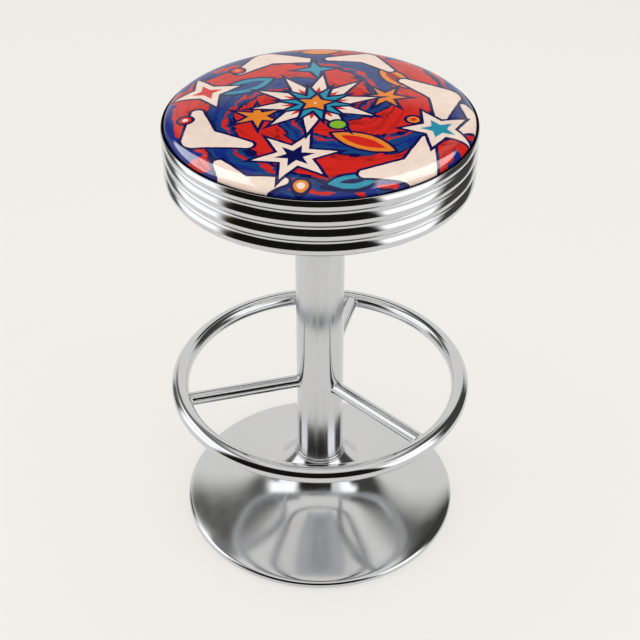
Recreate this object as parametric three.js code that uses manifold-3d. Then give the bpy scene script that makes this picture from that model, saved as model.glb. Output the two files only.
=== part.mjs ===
import * as THREE from 'three';
import { mergeVertices } from 'three/addons/utils/BufferGeometryUtils.js';
import Module from 'manifold-3d';

const wasm = await Module();
wasm.setup();

// A counter stool: an upholstered round seat in a beaded chrome band, on a ball bearing swivel,
// a tube column with a spoked foot ring, and a spun trumpet base over a cast ballast plate.
// Lengths are in millimetres, +Z is up, and the origin is the middle of the base on the floor.

// Fits between neighbouring pieces
const seatedGap = 0.3;
const runningGap = 0.4;
const cutOverrun = 2;

// Chrome band round the seat: four rolled beads over an inward flange
const bandRadius = 203;
const bandBottomHeight = 578.5;
const beadPitch = 20.3;
const topBeadHeight = 16.4;
const beadDepth = 3.2;
const bandSheet = 1;
const bandFlangeWidth = 17;
const fullBeadCount = 3;

// Cushion: printed vinyl pulled over foam and a plywood board
const crownRise = 5;
const shoulderHeight = 11;
const shoulderWidth = 14;
const coverSheet = 1.5;
const coverTurnUnder = 26;
const boardThickness = 18;
const cushionFit = 0.5;

// Screws that hold the band to the board
const bandScrewCount = 6;
const bandScrewRadius = 1.8;
const bandScrewLength = 15;
const bandScrewHeadRadius = 3.8;
const bandScrewHeadHeight = 1.9;

// Seat plate and its bolts
const plateWidth = 190;
const plateThickness = 4.5;
const plateCornerRadius = 22;
const plateBoltSpacing = 150;
const plateBoltRadius = 4;
const plateBoltHeadRadius = 7.2;
const plateBoltHeadHeight = 5.3;
const plateBoltEndInset = 3;
const teeNutFlangeRadius = 11;
const teeNutFlangeThickness = 1.6;
const teeNutBarrelRadius = 5.4;
const teeNutBarrelLength = 11;

// Ball bearing swivel
const ballCount = 12;
const ballRadius = 4;
const ballPitchRadius = 23.5;
const raceThickness = 5.5;
const raceSpacing = 5;
const raceWidth = 13;
const cageThickness = 2.4;
const cageWidth = 10;
const capWall = 2.5;
const capSkirtGap = 1.2;
const spindleRadius = 11.5;
const spindleThreadRadius = 9;
const spindleTail = 3;
const hubFlangeThickness = 5;
const hubSpigotHeight = 3.5;
const hubSpigotWall = 2.5;
const hubPlugDepth = 20;
const hubPlugWall = 4;
const hubSleeveDepth = 58;
const bushWall = 2.2;
const bushLength = 40;
const bushFlangeThickness = 2.5;
const lockWasherThickness = 2.5;
const lockWasherWidth = 8;
const lockNutHeight = 10;
const lockNutRadius = 15.5;

// Column tube with the plug welded into its lower end, and the collar ring at its foot
const columnRadius = 34;
const columnWall = 2;
const footPlugThickness = 14;
const collarRadius = 38.8;
const collarEdgeHeight = 3.4;
const collarLipWidth = 2.2;
const collarLipHeight = 3.6;
const collarSpigotDepth = 8;

// Foot ring on three spokes
const footRingRadius = 205;
const footRingHeight = 232;
const footRingTubeRadius = 12.5;
const footRingWall = 1.8;
const footRingVentRadius = 3.5;
const spokeRadius = 9.5;
const spokeWall = 1.6;
const spokeCount = 3;
const firstSpokeDegrees = 75;

// Trumpet base, spun from one sheet: the neck flares into a low skirt, which steepens to its rim
const baseRadius = 206;
const neckHeight = 92.5;
const neckRadius = 38.2;
const neckSlopeDegrees = 54;
const neckReach = 61;
const skirtRadius = 165;
const skirtHeight = 23.4;
const skirtSlopeDegrees = 13;
const skirtReach = 85;
const rimSlopeDegrees = 20;
const rimReach = 12;
const baseSheet = 1.5;
const rimRollRadius = 6;
const rimLipWidth = 3;
const rimSeamInset = 16;

// Rubber ring under the rim
const floorRingThickness = 2;
const floorRingHookHeight = 4.5;
const floorRingHookWidth = 3;

// Cast ballast plate under the trumpet, drawn up by one bolt
const ballastRadius = 152;
const ballastFloorClearance = 12.5;
const ballastBossRadius = 34;
const ballastBossHeight = 26;
const tieBoltRadius = 6;
const tieBoltHeadRadius = 10.5;
const tieBoltHeadHeight = 7.5;
const tieBoltEndInset = 2;
const tieWasherRadius = 15;
const tieWasherThickness = 2.5;
const tieBoltRecessSpare = 2;

// Sides of the round pieces, and steps along their curved stretches
const wideSides = 36;
const columnSides = 32;
const boreSides = 24;
const smallSides = 16;
const boltSides = 10;
const hexSides = 6;
const ringTubeSides = 10;
const beadSteps = 4;
const crownSteps = 3;
const shoulderSteps = 4;
const flareSteps = 6;
const skirtSteps = 2;
const rollSteps = 4;
const grooveSteps = 4;
const collarEdgeSteps = 4;
const screwSides = 8;
const plateCornerSteps = 4;
const ballSides = 8;
const ballRows = 6;

// Heights and radii worked out from the sizes above, from the floor ring up to the cushion
const rimBottomHeight = floorRingThickness;
const rimCentreHeight = rimBottomHeight + rimRollRadius;
const rimCentreRadius = baseRadius - rimRollRadius;
const rimSeamRadius = baseRadius - rimSeamInset;
const rimLipInnerRadius = rimCentreRadius - rimLipWidth;
const columnInnerRadius = columnRadius - columnWall;
const ballastBossTop = ballastFloorClearance + ballastBossHeight;
const columnBottomHeight = ballastBossTop + seatedGap;
const neckInnerRadius = neckRadius - baseSheet;

const bandHeight = fullBeadCount * beadPitch + topBeadHeight;
const bandTopHeight = bandBottomHeight + bandHeight;
const grooveRadius = bandRadius - beadDepth;
const cushionRadius = grooveRadius - bandSheet - cushionFit;
const coverBottomHeight = bandBottomHeight + bandSheet + seatedGap;
const boardBottomHeight = coverBottomHeight + coverSheet + seatedGap;
const boardTopHeight = boardBottomHeight + boardThickness;
const bandScrewCircleRadius = grooveRadius - bandFlangeWidth / 2;
const shoulderBaseHeight = bandTopHeight;

const plateTopHeight = boardBottomHeight - seatedGap;
const plateBottomHeight = plateTopHeight - plateThickness;
const upperRaceTop = plateBottomHeight - seatedGap;
const upperRaceBottom = upperRaceTop - raceThickness;
const ballCentreHeight = upperRaceBottom - raceSpacing / 2;
const lowerRaceTop = upperRaceBottom - raceSpacing;
const lowerRaceBottom = lowerRaceTop - raceThickness;
const hubFlangeTop = lowerRaceBottom - seatedGap;
const hubFlangeBottom = hubFlangeTop - hubFlangeThickness;
const columnTopHeight = hubFlangeBottom - seatedGap;
const hubSleeveBottom = hubFlangeBottom - hubSleeveDepth;
const bushOuterRadius = spindleRadius + runningGap + bushWall;
const hubBoreRadius = bushOuterRadius + seatedGap;
const bushFlangeTop = hubSleeveBottom - seatedGap;
const bushFlangeBottom = bushFlangeTop - bushFlangeThickness;
const lockWasherTop = bushFlangeBottom - runningGap;
const lockNutTop = lockWasherTop - lockWasherThickness - seatedGap;

// A solid of revolution about Z from [radius, height] points that start and end on the axis
// or close on themselves
function revolve(points, sides) {
  const outline = points.map(([radius, height]) => new THREE.Vector2(radius, height));
  const ordered = THREE.ShapeUtils.area(outline) > 0 ? outline : outline.reverse();
  const closed = ordered[0].x === 0 ? ordered : [...ordered, ordered[0].clone()];
  return new THREE.LatheGeometry(closed, sides).rotateX(Math.PI / 2);
}

// A round bar or disc along Z between two heights
function bar(radius, bottom, top, sides) {
  const geometry = new THREE.CylinderGeometry(radius, radius, top - bottom, sides);
  return geometry.rotateX(Math.PI / 2).translate(0, 0, (top + bottom) / 2);
}

// A flat-ended ring about Z
function ring(innerRadius, outerRadius, bottom, top, sides) {
  return revolve([
    [innerRadius, bottom],
    [outerRadius, bottom],
    [outerRadius, top],
    [innerRadius, top],
  ], sides);
}

// Points of an arc in a profile, from one angle to another in degrees
function arc(centreRadius, centreHeight, radius, fromDegrees, toDegrees, steps) {
  return Array.from({ length: steps + 1 }, (unused, step) => {
    const angle = THREE.MathUtils.degToRad(THREE.MathUtils.lerp(fromDegrees, toDegrees, step / steps));
    return [centreRadius + radius * Math.cos(angle), centreHeight + radius * Math.sin(angle)];
  });
}

// The line that runs beside an open profile at a distance, on its right hand
function beside(points, distance) {
  const normalOf = (from, to) => {
    const run = new THREE.Vector2(to[0] - from[0], to[1] - from[1]).normalize();
    return new THREE.Vector2(run.y, -run.x);
  };
  return points.map((point, i) => {
    const before = normalOf(points[Math.max(i - 1, 0)], points[Math.max(i, 1)]);
    const last = points.length - 1;
    const after = normalOf(points[Math.min(i, last - 1)], points[Math.min(i + 1, last)]);
    const middle = before.clone().add(after).normalize();
    const reach = distance / middle.dot(before);
    return [point[0] + middle.x * reach, point[1] + middle.y * reach];
  });
}

// The closed outline of a sheet whose outer face follows an open profile
function sheetOutline(points, thickness) {
  return [...points, ...beside(points, thickness).reverse()];
}

// The height of a falling profile at a radius
function heightAt(points, radius) {
  const next = points.findIndex((point, i) => i > 0 && point[0] >= radius);
  const [fromRadius, fromHeight] = points[next - 1];
  const [toRadius, toHeight] = points[next];
  return THREE.MathUtils.mapLinear(radius, fromRadius, toRadius, fromHeight, toHeight);
}

// A closed mesh as a solid that can be joined and cut
function toSolid(geometry) {
  const bare = geometry.clone();
  bare.deleteAttribute('normal');
  bare.deleteAttribute('uv');
  const welded = mergeVertices(bare);
  const corners = Array.from(welded.index.array);
  const kept = [];
  for (let i = 0; i < corners.length; i += 3) {
    const [a, b, c] = corners.slice(i, i + 3);
    if (a !== b && b !== c && c !== a) kept.push(a, b, c);
  }
  return new wasm.Manifold(new wasm.Mesh({
    numProp: 3,
    vertProperties: new Float32Array(welded.attributes.position.array),
    triVerts: new Uint32Array(kept),
  }));
}

// The mesh of a solid that was joined or cut
function toGeometry(solid) {
  const mesh = solid.getMesh();
  const geometry = new THREE.BufferGeometry();
  geometry.setAttribute('position', new THREE.BufferAttribute(mesh.vertProperties, 3));
  geometry.setIndex(new THREE.BufferAttribute(mesh.triVerts, 1));
  geometry.computeVertexNormals();
  return geometry;
}

// A geometry with other geometries cut out of it
function cut(geometry, tools) {
  return toGeometry(tools.reduce((solid, tool) => solid.subtract(toSolid(tool)), toSolid(geometry)));
}

// Two overlapping geometries as one
function join(first, second) {
  return toGeometry(toSolid(first).add(toSolid(second)));
}

// Places spread evenly round a circle, as [x, y]
function around(count, radius, firstDegrees) {
  return Array.from({ length: count }, (unused, i) => {
    const angle = THREE.MathUtils.degToRad(firstDegrees + i * 360 / count);
    return [radius * Math.cos(angle), radius * Math.sin(angle)];
  });
}

// The four corners of a square, as [x, y]
function squareCorners(spacing) {
  return around(4, spacing / Math.SQRT2, 45);
}

// Finishes
const polishedChrome = () => new THREE.MeshStandardMaterial({ color: 0xd8dade, metalness: 1, roughness: 0.08 });
const satinChrome = () => new THREE.MeshStandardMaterial({ color: 0xc9cacc, metalness: 1, roughness: 0.24 });
const platedSteel = () => new THREE.MeshStandardMaterial({ color: 0xb4b6b2, metalness: 1, roughness: 0.4 });
const groundSteel = () => new THREE.MeshStandardMaterial({ color: 0xa8abb0, metalness: 1, roughness: 0.2 });
const turnedBronze = () => new THREE.MeshStandardMaterial({ color: 0xb58a4a, metalness: 1, roughness: 0.35 });
const blackIron = () => new THREE.MeshStandardMaterial({ color: 0x2a2b2d, metalness: 0.3, roughness: 0.75 });
const blackRubber = () => new THREE.MeshStandardMaterial({ color: 0x161616, metalness: 0, roughness: 0.85 });
const printedVinyl = () => new THREE.MeshStandardMaterial({ color: 0xc62c26, metalness: 0, roughness: 0.18 });
const creamFoam = () => new THREE.MeshStandardMaterial({ color: 0xe8dcae, metalness: 0, roughness: 0.95 });
const birchPly = () => new THREE.MeshStandardMaterial({ color: 0xc9a26c, metalness: 0, roughness: 0.7 });

function piece(name, geometry, material) {
  const mesh = new THREE.Mesh(geometry, material);
  mesh.name = name;
  return mesh;
}

// The place at a distance down and out from a point of a profile, along a slope
function downSlope([radius, height], slopeDegrees, distance) {
  const slope = THREE.MathUtils.degToRad(slopeDegrees);
  return [radius + distance * Math.cos(slope), height - distance * Math.sin(slope)];
}

// A smooth stretch of a profile that leaves one point and meets the next at given slopes
function sweep(from, fromDegrees, fromReach, to, toDegrees, toReach, steps) {
  const pulls = [downSlope(from, fromDegrees, fromReach), downSlope(to, toDegrees, -toReach)];
  const ends = [from, ...pulls, to].map(([radius, height]) => new THREE.Vector2(radius, height));
  return new THREE.CubicBezierCurve(...ends).getSpacedPoints(steps).map((point) => [point.x, point.y]);
}

// The trumpet's outer face: the neck flares into the skirt, and the rim rolls under to a flat lip
function trumpetLine() {
  const rollStartDegrees = 90 - rimSlopeDegrees;
  const roll = arc(rimCentreRadius, rimCentreHeight, rimRollRadius, rollStartDegrees, -90, rollSteps);
  const neck = [neckRadius, neckHeight];
  const skirt = [skirtRadius, skirtHeight];
  const flare = sweep(neck, neckSlopeDegrees, neckReach, skirt, skirtSlopeDegrees, skirtReach, flareSteps);
  const apron = sweep(skirt, skirtSlopeDegrees, rimReach, roll[0], rimSlopeDegrees, rimReach, skirtSteps);
  return [...flare, ...apron.slice(1), ...roll.slice(1), [rimLipInnerRadius, rimBottomHeight]];
}

// The spun bell, and the rolled rim that is welded on round it and ground flush
function baseTrumpet() {
  const line = trumpetLine();
  const bellEdge = rimSeamRadius - seatedGap / 2;
  const rimEdge = rimSeamRadius + seatedGap / 2;
  const bell = [...line.filter(([radius]) => radius < bellEdge), [bellEdge, heightAt(line, bellEdge)]];
  const rim = [[rimEdge, heightAt(line, rimEdge)], ...line.filter(([radius]) => radius > rimEdge)];
  return [
    piece('base_bell', revolve(sheetOutline(bell, baseSheet), wideSides), satinChrome()),
    piece('base_rim', revolve(sheetOutline(rim, baseSheet), wideSides), satinChrome()),
  ];
}

// The floor ring lies under the rim's lip and hooks up behind it
function floorRing() {
  const hookOuter = rimLipInnerRadius - seatedGap;
  const hookInner = hookOuter - floorRingHookWidth;
  const footTop = floorRingThickness - seatedGap;
  const outline = [
    [hookInner, 0],
    [rimCentreRadius, 0],
    [rimCentreRadius, footTop],
    [hookOuter, footTop],
    [hookOuter, floorRingThickness + floorRingHookHeight],
    [hookInner, floorRingThickness + floorRingHookHeight],
  ];
  return piece('floor_ring', revolve(outline, wideSides), blackRubber());
}

// The ballast's top cone rises from its edge, which bears on the trumpet, to the boss under the column
function ballastPlate() {
  const inside = beside(trumpetLine(), baseSheet);
  const edgeHeight = heightAt(inside, ballastRadius) - seatedGap;
  const headRecessTop = ballastFloorClearance + tieBoltHeadHeight + tieWasherThickness + tieBoltRecessSpare;
  const boreRadius = tieBoltRadius + seatedGap;
  const recessRadius = tieWasherRadius + seatedGap;
  const outline = [
    [recessRadius, ballastFloorClearance],
    [ballastRadius, ballastFloorClearance],
    [ballastRadius, edgeHeight],
    [ballastBossRadius, edgeHeight],
    [ballastBossRadius, ballastBossTop],
    [boreRadius, ballastBossTop],
    [boreRadius, headRecessTop],
    [recessRadius, headRecessTop],
  ];
  return piece('ballast_plate', revolve(outline, wideSides), blackIron());
}

function tieBolt() {
  const headTop = ballastFloorClearance + tieBoltHeadHeight + tieBoltRecessSpare - seatedGap;
  const shankTop = columnBottomHeight + footPlugThickness - tieBoltEndInset;
  const head = bar(tieBoltHeadRadius, headTop - tieBoltHeadHeight, headTop, hexSides);
  const shank = bar(tieBoltRadius, headTop - tieBoltHeadHeight / 2, shankTop, smallSides);
  const washerBottom = headTop + seatedGap;
  const washerTop = washerBottom + tieWasherThickness - seatedGap;
  const boreRadius = tieBoltRadius + seatedGap;
  const washer = ring(boreRadius, tieWasherRadius, washerBottom, washerTop, smallSides);
  return [
    piece('tie_bolt', join(head, shank), platedSteel()),
    piece('tie_washer', washer, platedSteel()),
  ];
}

function column() {
  const tube = ring(columnInnerRadius, columnRadius, columnBottomHeight, columnTopHeight, columnSides);
  const plugTop = columnBottomHeight + footPlugThickness;
  const plugRadius = columnInnerRadius - seatedGap;
  const plug = ring(tieBoltRadius + seatedGap, plugRadius, columnBottomHeight, plugTop, boreSides);
  return [
    piece('column_tube', tube, polishedChrome()),
    piece('column_foot', plug, platedSteel()),
  ];
}

// The collar closes the neck: a rounded edge over the sheet, a raised lip and a spigot inside
function columnCollar() {
  const boreRadius = columnRadius + seatedGap;
  const edgeBottom = neckHeight + seatedGap;
  const edgeRoll = collarEdgeHeight / 2;
  const edge = arc(collarRadius - edgeRoll, edgeBottom + edgeRoll, edgeRoll, -90, 90, collarEdgeSteps);
  const lipRadius = boreRadius + collarLipWidth;
  const lipTop = edgeBottom + collarEdgeHeight + collarLipHeight;
  const lipChamfer = collarLipWidth / 2;
  const spigotRadius = neckInnerRadius - seatedGap;
  const outline = [
    [boreRadius, neckHeight - collarSpigotDepth],
    [spigotRadius, neckHeight - collarSpigotDepth],
    [spigotRadius, edgeBottom],
    ...edge,
    [lipRadius, edgeBottom + collarEdgeHeight],
    [lipRadius, lipTop - lipChamfer],
    [lipRadius - lipChamfer, lipTop],
    [boreRadius, lipTop],
  ];
  return piece('column_collar', revolve(outline, columnSides), polishedChrome());
}

// The degrees round the stool at which a spoke stands
function spokeDegrees(number) {
  return firstSpokeDegrees + (number - 1) * 360 / spokeCount;
}

// The foot ring is a bent tube, with a vent under each spoke's end that lets the plating bath drain
function footRing() {
  const boreRadius = footRingTubeRadius - footRingWall;
  const bore = new THREE.TorusGeometry(footRingRadius, boreRadius, ringTubeSides, wideSides);
  const ventStart = footRingRadius - footRingTubeRadius - cutOverrun;
  const vents = Array.from({ length: spokeCount }, (unused, i) => {
    const vent = bar(footRingVentRadius, ventStart, footRingRadius, boltSides).rotateY(Math.PI / 2);
    return vent.rotateZ(THREE.MathUtils.degToRad(spokeDegrees(i + 1)));
  });
  const tube = new THREE.TorusGeometry(footRingRadius, footRingTubeRadius, ringTubeSides, wideSides);
  return piece('foot_ring', cut(tube, [bore, ...vents]).translate(0, 0, footRingHeight), polishedChrome());
}

// Each spoke is a tube, mitred to the column at one end and to the ring at the other
function spoke(number) {
  const start = columnInnerRadius - spokeRadius;
  const tube = ring(spokeRadius - spokeWall, spokeRadius, start, footRingRadius, smallSides);
  tube.rotateY(Math.PI / 2).rotateZ(THREE.MathUtils.degToRad(spokeDegrees(number)));
  tube.translate(0, 0, footRingHeight);
  const mitreTube = footRingTubeRadius + seatedGap;
  const ringMitre = new THREE.TorusGeometry(footRingRadius, mitreTube, ringTubeSides, wideSides);
  ringMitre.translate(0, 0, footRingHeight);
  const reach = spokeRadius + cutOverrun;
  const mitreRadius = columnRadius + seatedGap;
  const columnMitre = bar(mitreRadius, footRingHeight - reach, footRingHeight + reach, columnSides);
  return piece(`spoke_${number}`, cut(tube, [ringMitre, columnMitre]), polishedChrome());
}

// The hub: a flange on the column's end, a plug in its bore and a long sleeve for the bush
function swivelHub() {
  const spigotTop = hubFlangeTop + hubSpigotHeight;
  const spigotRadius = hubBoreRadius + hubSpigotWall;
  const plugRadius = columnInnerRadius - seatedGap;
  const plugBottom = hubFlangeBottom - hubPlugDepth;
  const outline = [
    [hubBoreRadius, hubSleeveBottom],
    [spigotRadius, hubSleeveBottom],
    [spigotRadius, hubFlangeBottom],
    [plugRadius - hubPlugWall, hubFlangeBottom],
    [plugRadius - hubPlugWall, plugBottom],
    [plugRadius, plugBottom],
    [plugRadius, hubFlangeBottom],
    [columnRadius, hubFlangeBottom],
    [columnRadius, hubFlangeTop],
    [spigotRadius, hubFlangeTop],
    [spigotRadius, spigotTop],
    [hubBoreRadius, spigotTop],
  ];
  return piece('swivel_hub', revolve(outline, boreSides), platedSteel());
}

function spindleBush() {
  const boreRadius = spindleRadius + runningGap;
  const flangeRadius = hubBoreRadius + hubSpigotWall;
  const outline = [
    [boreRadius, bushFlangeBottom],
    [flangeRadius, bushFlangeBottom],
    [flangeRadius, bushFlangeTop],
    [bushOuterRadius, bushFlangeTop],
    [bushOuterRadius, bushFlangeTop + bushLength],
    [boreRadius, bushFlangeTop + bushLength],
  ];
  return piece('spindle_bush', revolve(outline, boreSides), turnedBronze());
}

// The section of a race's ball groove, as far as the race's face
function grooveLine(faceHeight) {
  const grooveRadiusOfSection = ballRadius + seatedGap;
  const drop = faceHeight - ballCentreHeight;
  const reach = THREE.MathUtils.radToDeg(Math.asin(drop / grooveRadiusOfSection));
  const from = reach;
  const to = Math.sign(drop) * 180 - reach;
  return arc(ballPitchRadius, ballCentreHeight, grooveRadiusOfSection, from, to, grooveSteps);
}

function lowerRace() {
  const innerRadius = hubBoreRadius + hubSpigotWall + seatedGap;
  const outerRadius = ballPitchRadius + raceWidth / 2;
  const outline = [
    [innerRadius, lowerRaceBottom],
    [outerRadius, lowerRaceBottom],
    [outerRadius, lowerRaceTop],
    ...grooveLine(lowerRaceTop),
    [innerRadius, lowerRaceTop],
  ];
  return piece('lower_race', revolve(outline, columnSides), groundSteel());
}

// The upper race is a cap, and its skirt hangs round the balls to keep crumbs and grease apart
function upperRace() {
  const boreRadius = spindleRadius + seatedGap;
  const skirtInner = columnRadius - capWall;
  const skirtBottom = hubFlangeTop + capSkirtGap;
  const outline = [
    [boreRadius, upperRaceTop],
    [columnRadius, upperRaceTop],
    [columnRadius, skirtBottom],
    [skirtInner, skirtBottom],
    [skirtInner, upperRaceBottom],
    ...grooveLine(upperRaceBottom),
    [boreRadius, upperRaceBottom],
  ];
  return piece('upper_race', revolve(outline, columnSides), groundSteel());
}

function ballCage() {
  const bottom = ballCentreHeight - cageThickness / 2;
  const top = ballCentreHeight + cageThickness / 2;
  const blank = ring(ballPitchRadius - cageWidth / 2, ballPitchRadius + cageWidth / 2, bottom, top, columnSides);
  const pockets = around(ballCount, ballPitchRadius, 0).map(([x, y]) => {
    const pocket = bar(ballRadius + seatedGap, bottom - cutOverrun, top + cutOverrun, boltSides);
    return pocket.translate(x, y, 0);
  });
  return piece('ball_cage', cut(blank, pockets), turnedBronze());
}

function balls() {
  return around(ballCount, ballPitchRadius, 0).map(([x, y], i) => {
    const ball = new THREE.SphereGeometry(ballRadius, ballSides, ballRows).rotateX(Math.PI / 2);
    return piece(`ball_${i + 1}`, ball.translate(x, y, ballCentreHeight), groundSteel());
  });
}

// The spindle is welded flush into the seat plate and steps down to a thread for the lock nut
function spindle() {
  const shoulder = lockWasherTop + seatedGap;
  const tailBottom = lockNutTop - lockNutHeight - spindleTail;
  const outline = [
    [0, tailBottom],
    [spindleThreadRadius, tailBottom],
    [spindleThreadRadius, shoulder],
    [spindleRadius, shoulder],
    [spindleRadius, plateTopHeight],
    [0, plateTopHeight],
  ];
  return piece('spindle', revolve(outline, boreSides), groundSteel());
}

function spindleLock() {
  const boreRadius = spindleThreadRadius + seatedGap;
  const washerBottom = lockWasherTop - lockWasherThickness;
  const washer = ring(boreRadius, boreRadius + lockWasherWidth, washerBottom, lockWasherTop, smallSides);
  const nutBottom = lockNutTop - lockNutHeight;
  const nutBore = bar(boreRadius, nutBottom - cutOverrun, lockNutTop + cutOverrun, smallSides);
  const nut = cut(bar(lockNutRadius, nutBottom, lockNutTop, hexSides), [nutBore]);
  return [
    piece('spindle_washer', washer, platedSteel()),
    piece('spindle_nut', nut, platedSteel()),
  ];
}

function seatPlate() {
  const half = plateWidth / 2;
  const straight = half - plateCornerRadius;
  const outline = new THREE.Shape();
  outline.absarc(straight, straight, plateCornerRadius, 0, Math.PI / 2);
  outline.absarc(-straight, straight, plateCornerRadius, Math.PI / 2, Math.PI);
  outline.absarc(-straight, -straight, plateCornerRadius, Math.PI, -Math.PI / 2);
  outline.absarc(straight, -straight, plateCornerRadius, -Math.PI / 2, 0);
  const blank = new THREE.ExtrudeGeometry(outline, {
    depth: plateThickness,
    bevelEnabled: false,
    curveSegments: plateCornerSteps,
  }).translate(0, 0, plateBottomHeight);
  const bottom = plateBottomHeight - cutOverrun;
  const top = plateTopHeight + cutOverrun;
  const boltHoles = squareCorners(plateBoltSpacing).map(([x, y]) => {
    return bar(plateBoltRadius + seatedGap, bottom, top, boltSides).translate(x, y, 0);
  });
  const spindleHole = bar(spindleRadius + seatedGap, bottom, top, boreSides);
  return piece('seat_plate', cut(blank, [spindleHole, ...boltHoles]), platedSteel());
}

function plateBolts() {
  const headTop = plateBottomHeight - seatedGap;
  const shankTop = boardTopHeight - plateBoltEndInset;
  const head = bar(plateBoltHeadRadius, headTop - plateBoltHeadHeight, headTop, hexSides);
  const shank = bar(plateBoltRadius, headTop - plateBoltHeadHeight / 2, shankTop, boltSides);
  const bolt = join(head, shank);
  return squareCorners(plateBoltSpacing).map(([x, y], i) => {
    return piece(`plate_bolt_${i + 1}`, bolt.clone().translate(x, y, 0), platedSteel());
  });
}

// Tee nuts are driven in from the top of the board until their flanges lie flush
function teeNuts() {
  const boreRadius = plateBoltRadius + seatedGap;
  const flangeBottom = boardTopHeight - teeNutFlangeThickness;
  const nut = revolve([
    [boreRadius, boardTopHeight],
    [teeNutFlangeRadius, boardTopHeight],
    [teeNutFlangeRadius, flangeBottom],
    [teeNutBarrelRadius, flangeBottom],
    [teeNutBarrelRadius, flangeBottom - teeNutBarrelLength],
    [boreRadius, flangeBottom - teeNutBarrelLength],
  ], boltSides);
  return squareCorners(plateBoltSpacing).map(([x, y], i) => {
    return piece(`tee_nut_${i + 1}`, nut.clone().translate(x, y, 0), platedSteel());
  });
}

// Places of the band screws, evenly round the middle of the flange
function bandScrewPlaces() {
  return around(bandScrewCount, bandScrewCircleRadius, 180 / bandScrewCount);
}

function bandScrewHoles(bottom, top) {
  const radius = bandScrewRadius + seatedGap;
  return bandScrewPlaces().map(([x, y]) => bar(radius, bottom, top, screwSides).translate(x, y, 0));
}

function seatBoard() {
  const radius = cushionRadius - coverSheet - seatedGap;
  const blank = bar(radius, boardBottomHeight, boardTopHeight, wideSides);
  const below = boardBottomHeight - cutOverrun;
  const above = boardTopHeight + cutOverrun;
  const flangeSeat = boardTopHeight - teeNutFlangeThickness - seatedGap;
  const nutHoles = squareCorners(plateBoltSpacing).flatMap(([x, y]) => [
    bar(teeNutBarrelRadius + seatedGap, below, above, boltSides).translate(x, y, 0),
    bar(teeNutFlangeRadius + seatedGap, flangeSeat, above, boltSides).translate(x, y, 0),
  ]);
  const pilotTop = bandBottomHeight + bandScrewLength + seatedGap;
  return piece('seat_board', cut(blank, [...nutHoles, ...bandScrewHoles(below, pilotTop)]), birchPly());
}

// The cushion's face, drawn in by an inset: a low crown, then a short round shoulder down to the band
function cushionLine(inset) {
  const shoulderStart = cushionRadius - shoulderWidth;
  const shoulderTop = shoulderBaseHeight + shoulderHeight;
  const crown = Array.from({ length: crownSteps }, (unused, step) => {
    const along = step / crownSteps;
    return [shoulderStart * along, shoulderTop + crownRise * (1 - along * along) - inset];
  });
  const shoulder = Array.from({ length: shoulderSteps + 1 }, (unused, step) => {
    const angle = Math.PI / 2 * (1 - step / shoulderSteps);
    return [
      shoulderStart + (shoulderWidth - inset) * Math.cos(angle),
      shoulderBaseHeight + (shoulderHeight - inset) * Math.sin(angle),
    ];
  });
  return [...crown, ...shoulder];
}

function seatFoam() {
  const line = cushionLine(coverSheet + seatedGap);
  const side = line.at(-1)[0];
  const foot = boardTopHeight + seatedGap;
  return piece('seat_foam', revolve([...line, [side, foot], [0, foot]], wideSides), creamFoam());
}

// The vinyl cover runs over the foam, down the board's edge and under it, where the band's flange holds it
function seatCover() {
  const turnUnderRadius = cushionRadius - coverTurnUnder;
  const innerBottom = coverBottomHeight + coverSheet;
  const outline = [
    ...cushionLine(0),
    [cushionRadius, innerBottom],
    [cushionRadius - coverSheet, coverBottomHeight],
    [turnUnderRadius, coverBottomHeight],
    [turnUnderRadius, innerBottom],
    [cushionRadius - coverSheet, innerBottom],
    ...cushionLine(coverSheet).reverse(),
  ];
  const holes = bandScrewHoles(coverBottomHeight - cutOverrun, innerBottom + cutOverrun);
  return piece('seat_cover', cut(revolve(outline, wideSides), holes), printedVinyl());
}

// One bead of the band, from its upper groove over the crest to its lower groove
function beadLine(top, height) {
  const bow = (height * height / 4 + beadDepth * beadDepth) / (2 * beadDepth);
  const half = THREE.MathUtils.radToDeg(Math.asin(height / 2 / bow));
  return arc(bandRadius - bow, top - height / 2, bow, half, -half, beadSteps);
}

// The band's outer face: the short top bead, the full beads below it, then the flange turned in
function bandLine() {
  const fullTop = bandTopHeight - topBeadHeight;
  const beads = beadLine(bandTopHeight, topBeadHeight);
  for (let i = 0; i < fullBeadCount; i += 1) {
    beads.push(...beadLine(fullTop - i * beadPitch, beadPitch).slice(1));
  }
  return [...beads, [grooveRadius - bandFlangeWidth, bandBottomHeight]];
}

function seatBand() {
  const blank = revolve(sheetOutline(bandLine(), bandSheet), wideSides);
  const top = bandBottomHeight + bandSheet + cutOverrun;
  return piece('seat_band', cut(blank, bandScrewHoles(bandBottomHeight - cutOverrun, top)), polishedChrome());
}

function bandScrews() {
  const headTop = bandBottomHeight - seatedGap;
  const headBottom = headTop - bandScrewHeadHeight;
  const head = bar(bandScrewHeadRadius, headBottom, headTop, screwSides);
  const shank = bar(bandScrewRadius, headBottom + bandScrewHeadHeight / 2, headTop + bandScrewLength, screwSides);
  const screw = join(head, shank);
  return bandScrewPlaces().map(([x, y], i) => {
    return piece(`band_screw_${i + 1}`, screw.clone().translate(x, y, 0), platedSteel());
  });
}

const frame = new THREE.Group();
frame.add(...baseTrumpet(), floorRing(), ballastPlate(), ...tieBolt(), ...column(), columnCollar(), footRing());
for (let number = 1; number <= spokeCount; number += 1) frame.add(spoke(number));
frame.add(swivelHub(), spindleBush(), lowerRace());

const bearing = new THREE.Group();
bearing.add(ballCage(), ...balls());

const seat = new THREE.Group();
seat.add(upperRace(), spindle(), ...spindleLock(), seatPlate(), ...plateBolts(), ...teeNuts());
seat.add(seatBoard(), seatFoam(), seatCover(), seatBand(), ...bandScrews());

const stool = new THREE.Group();
stool.add(frame, bearing, seat);

export default stool;
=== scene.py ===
import math

import bmesh
import bpy
from mathutils import Matrix, Vector


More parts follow.
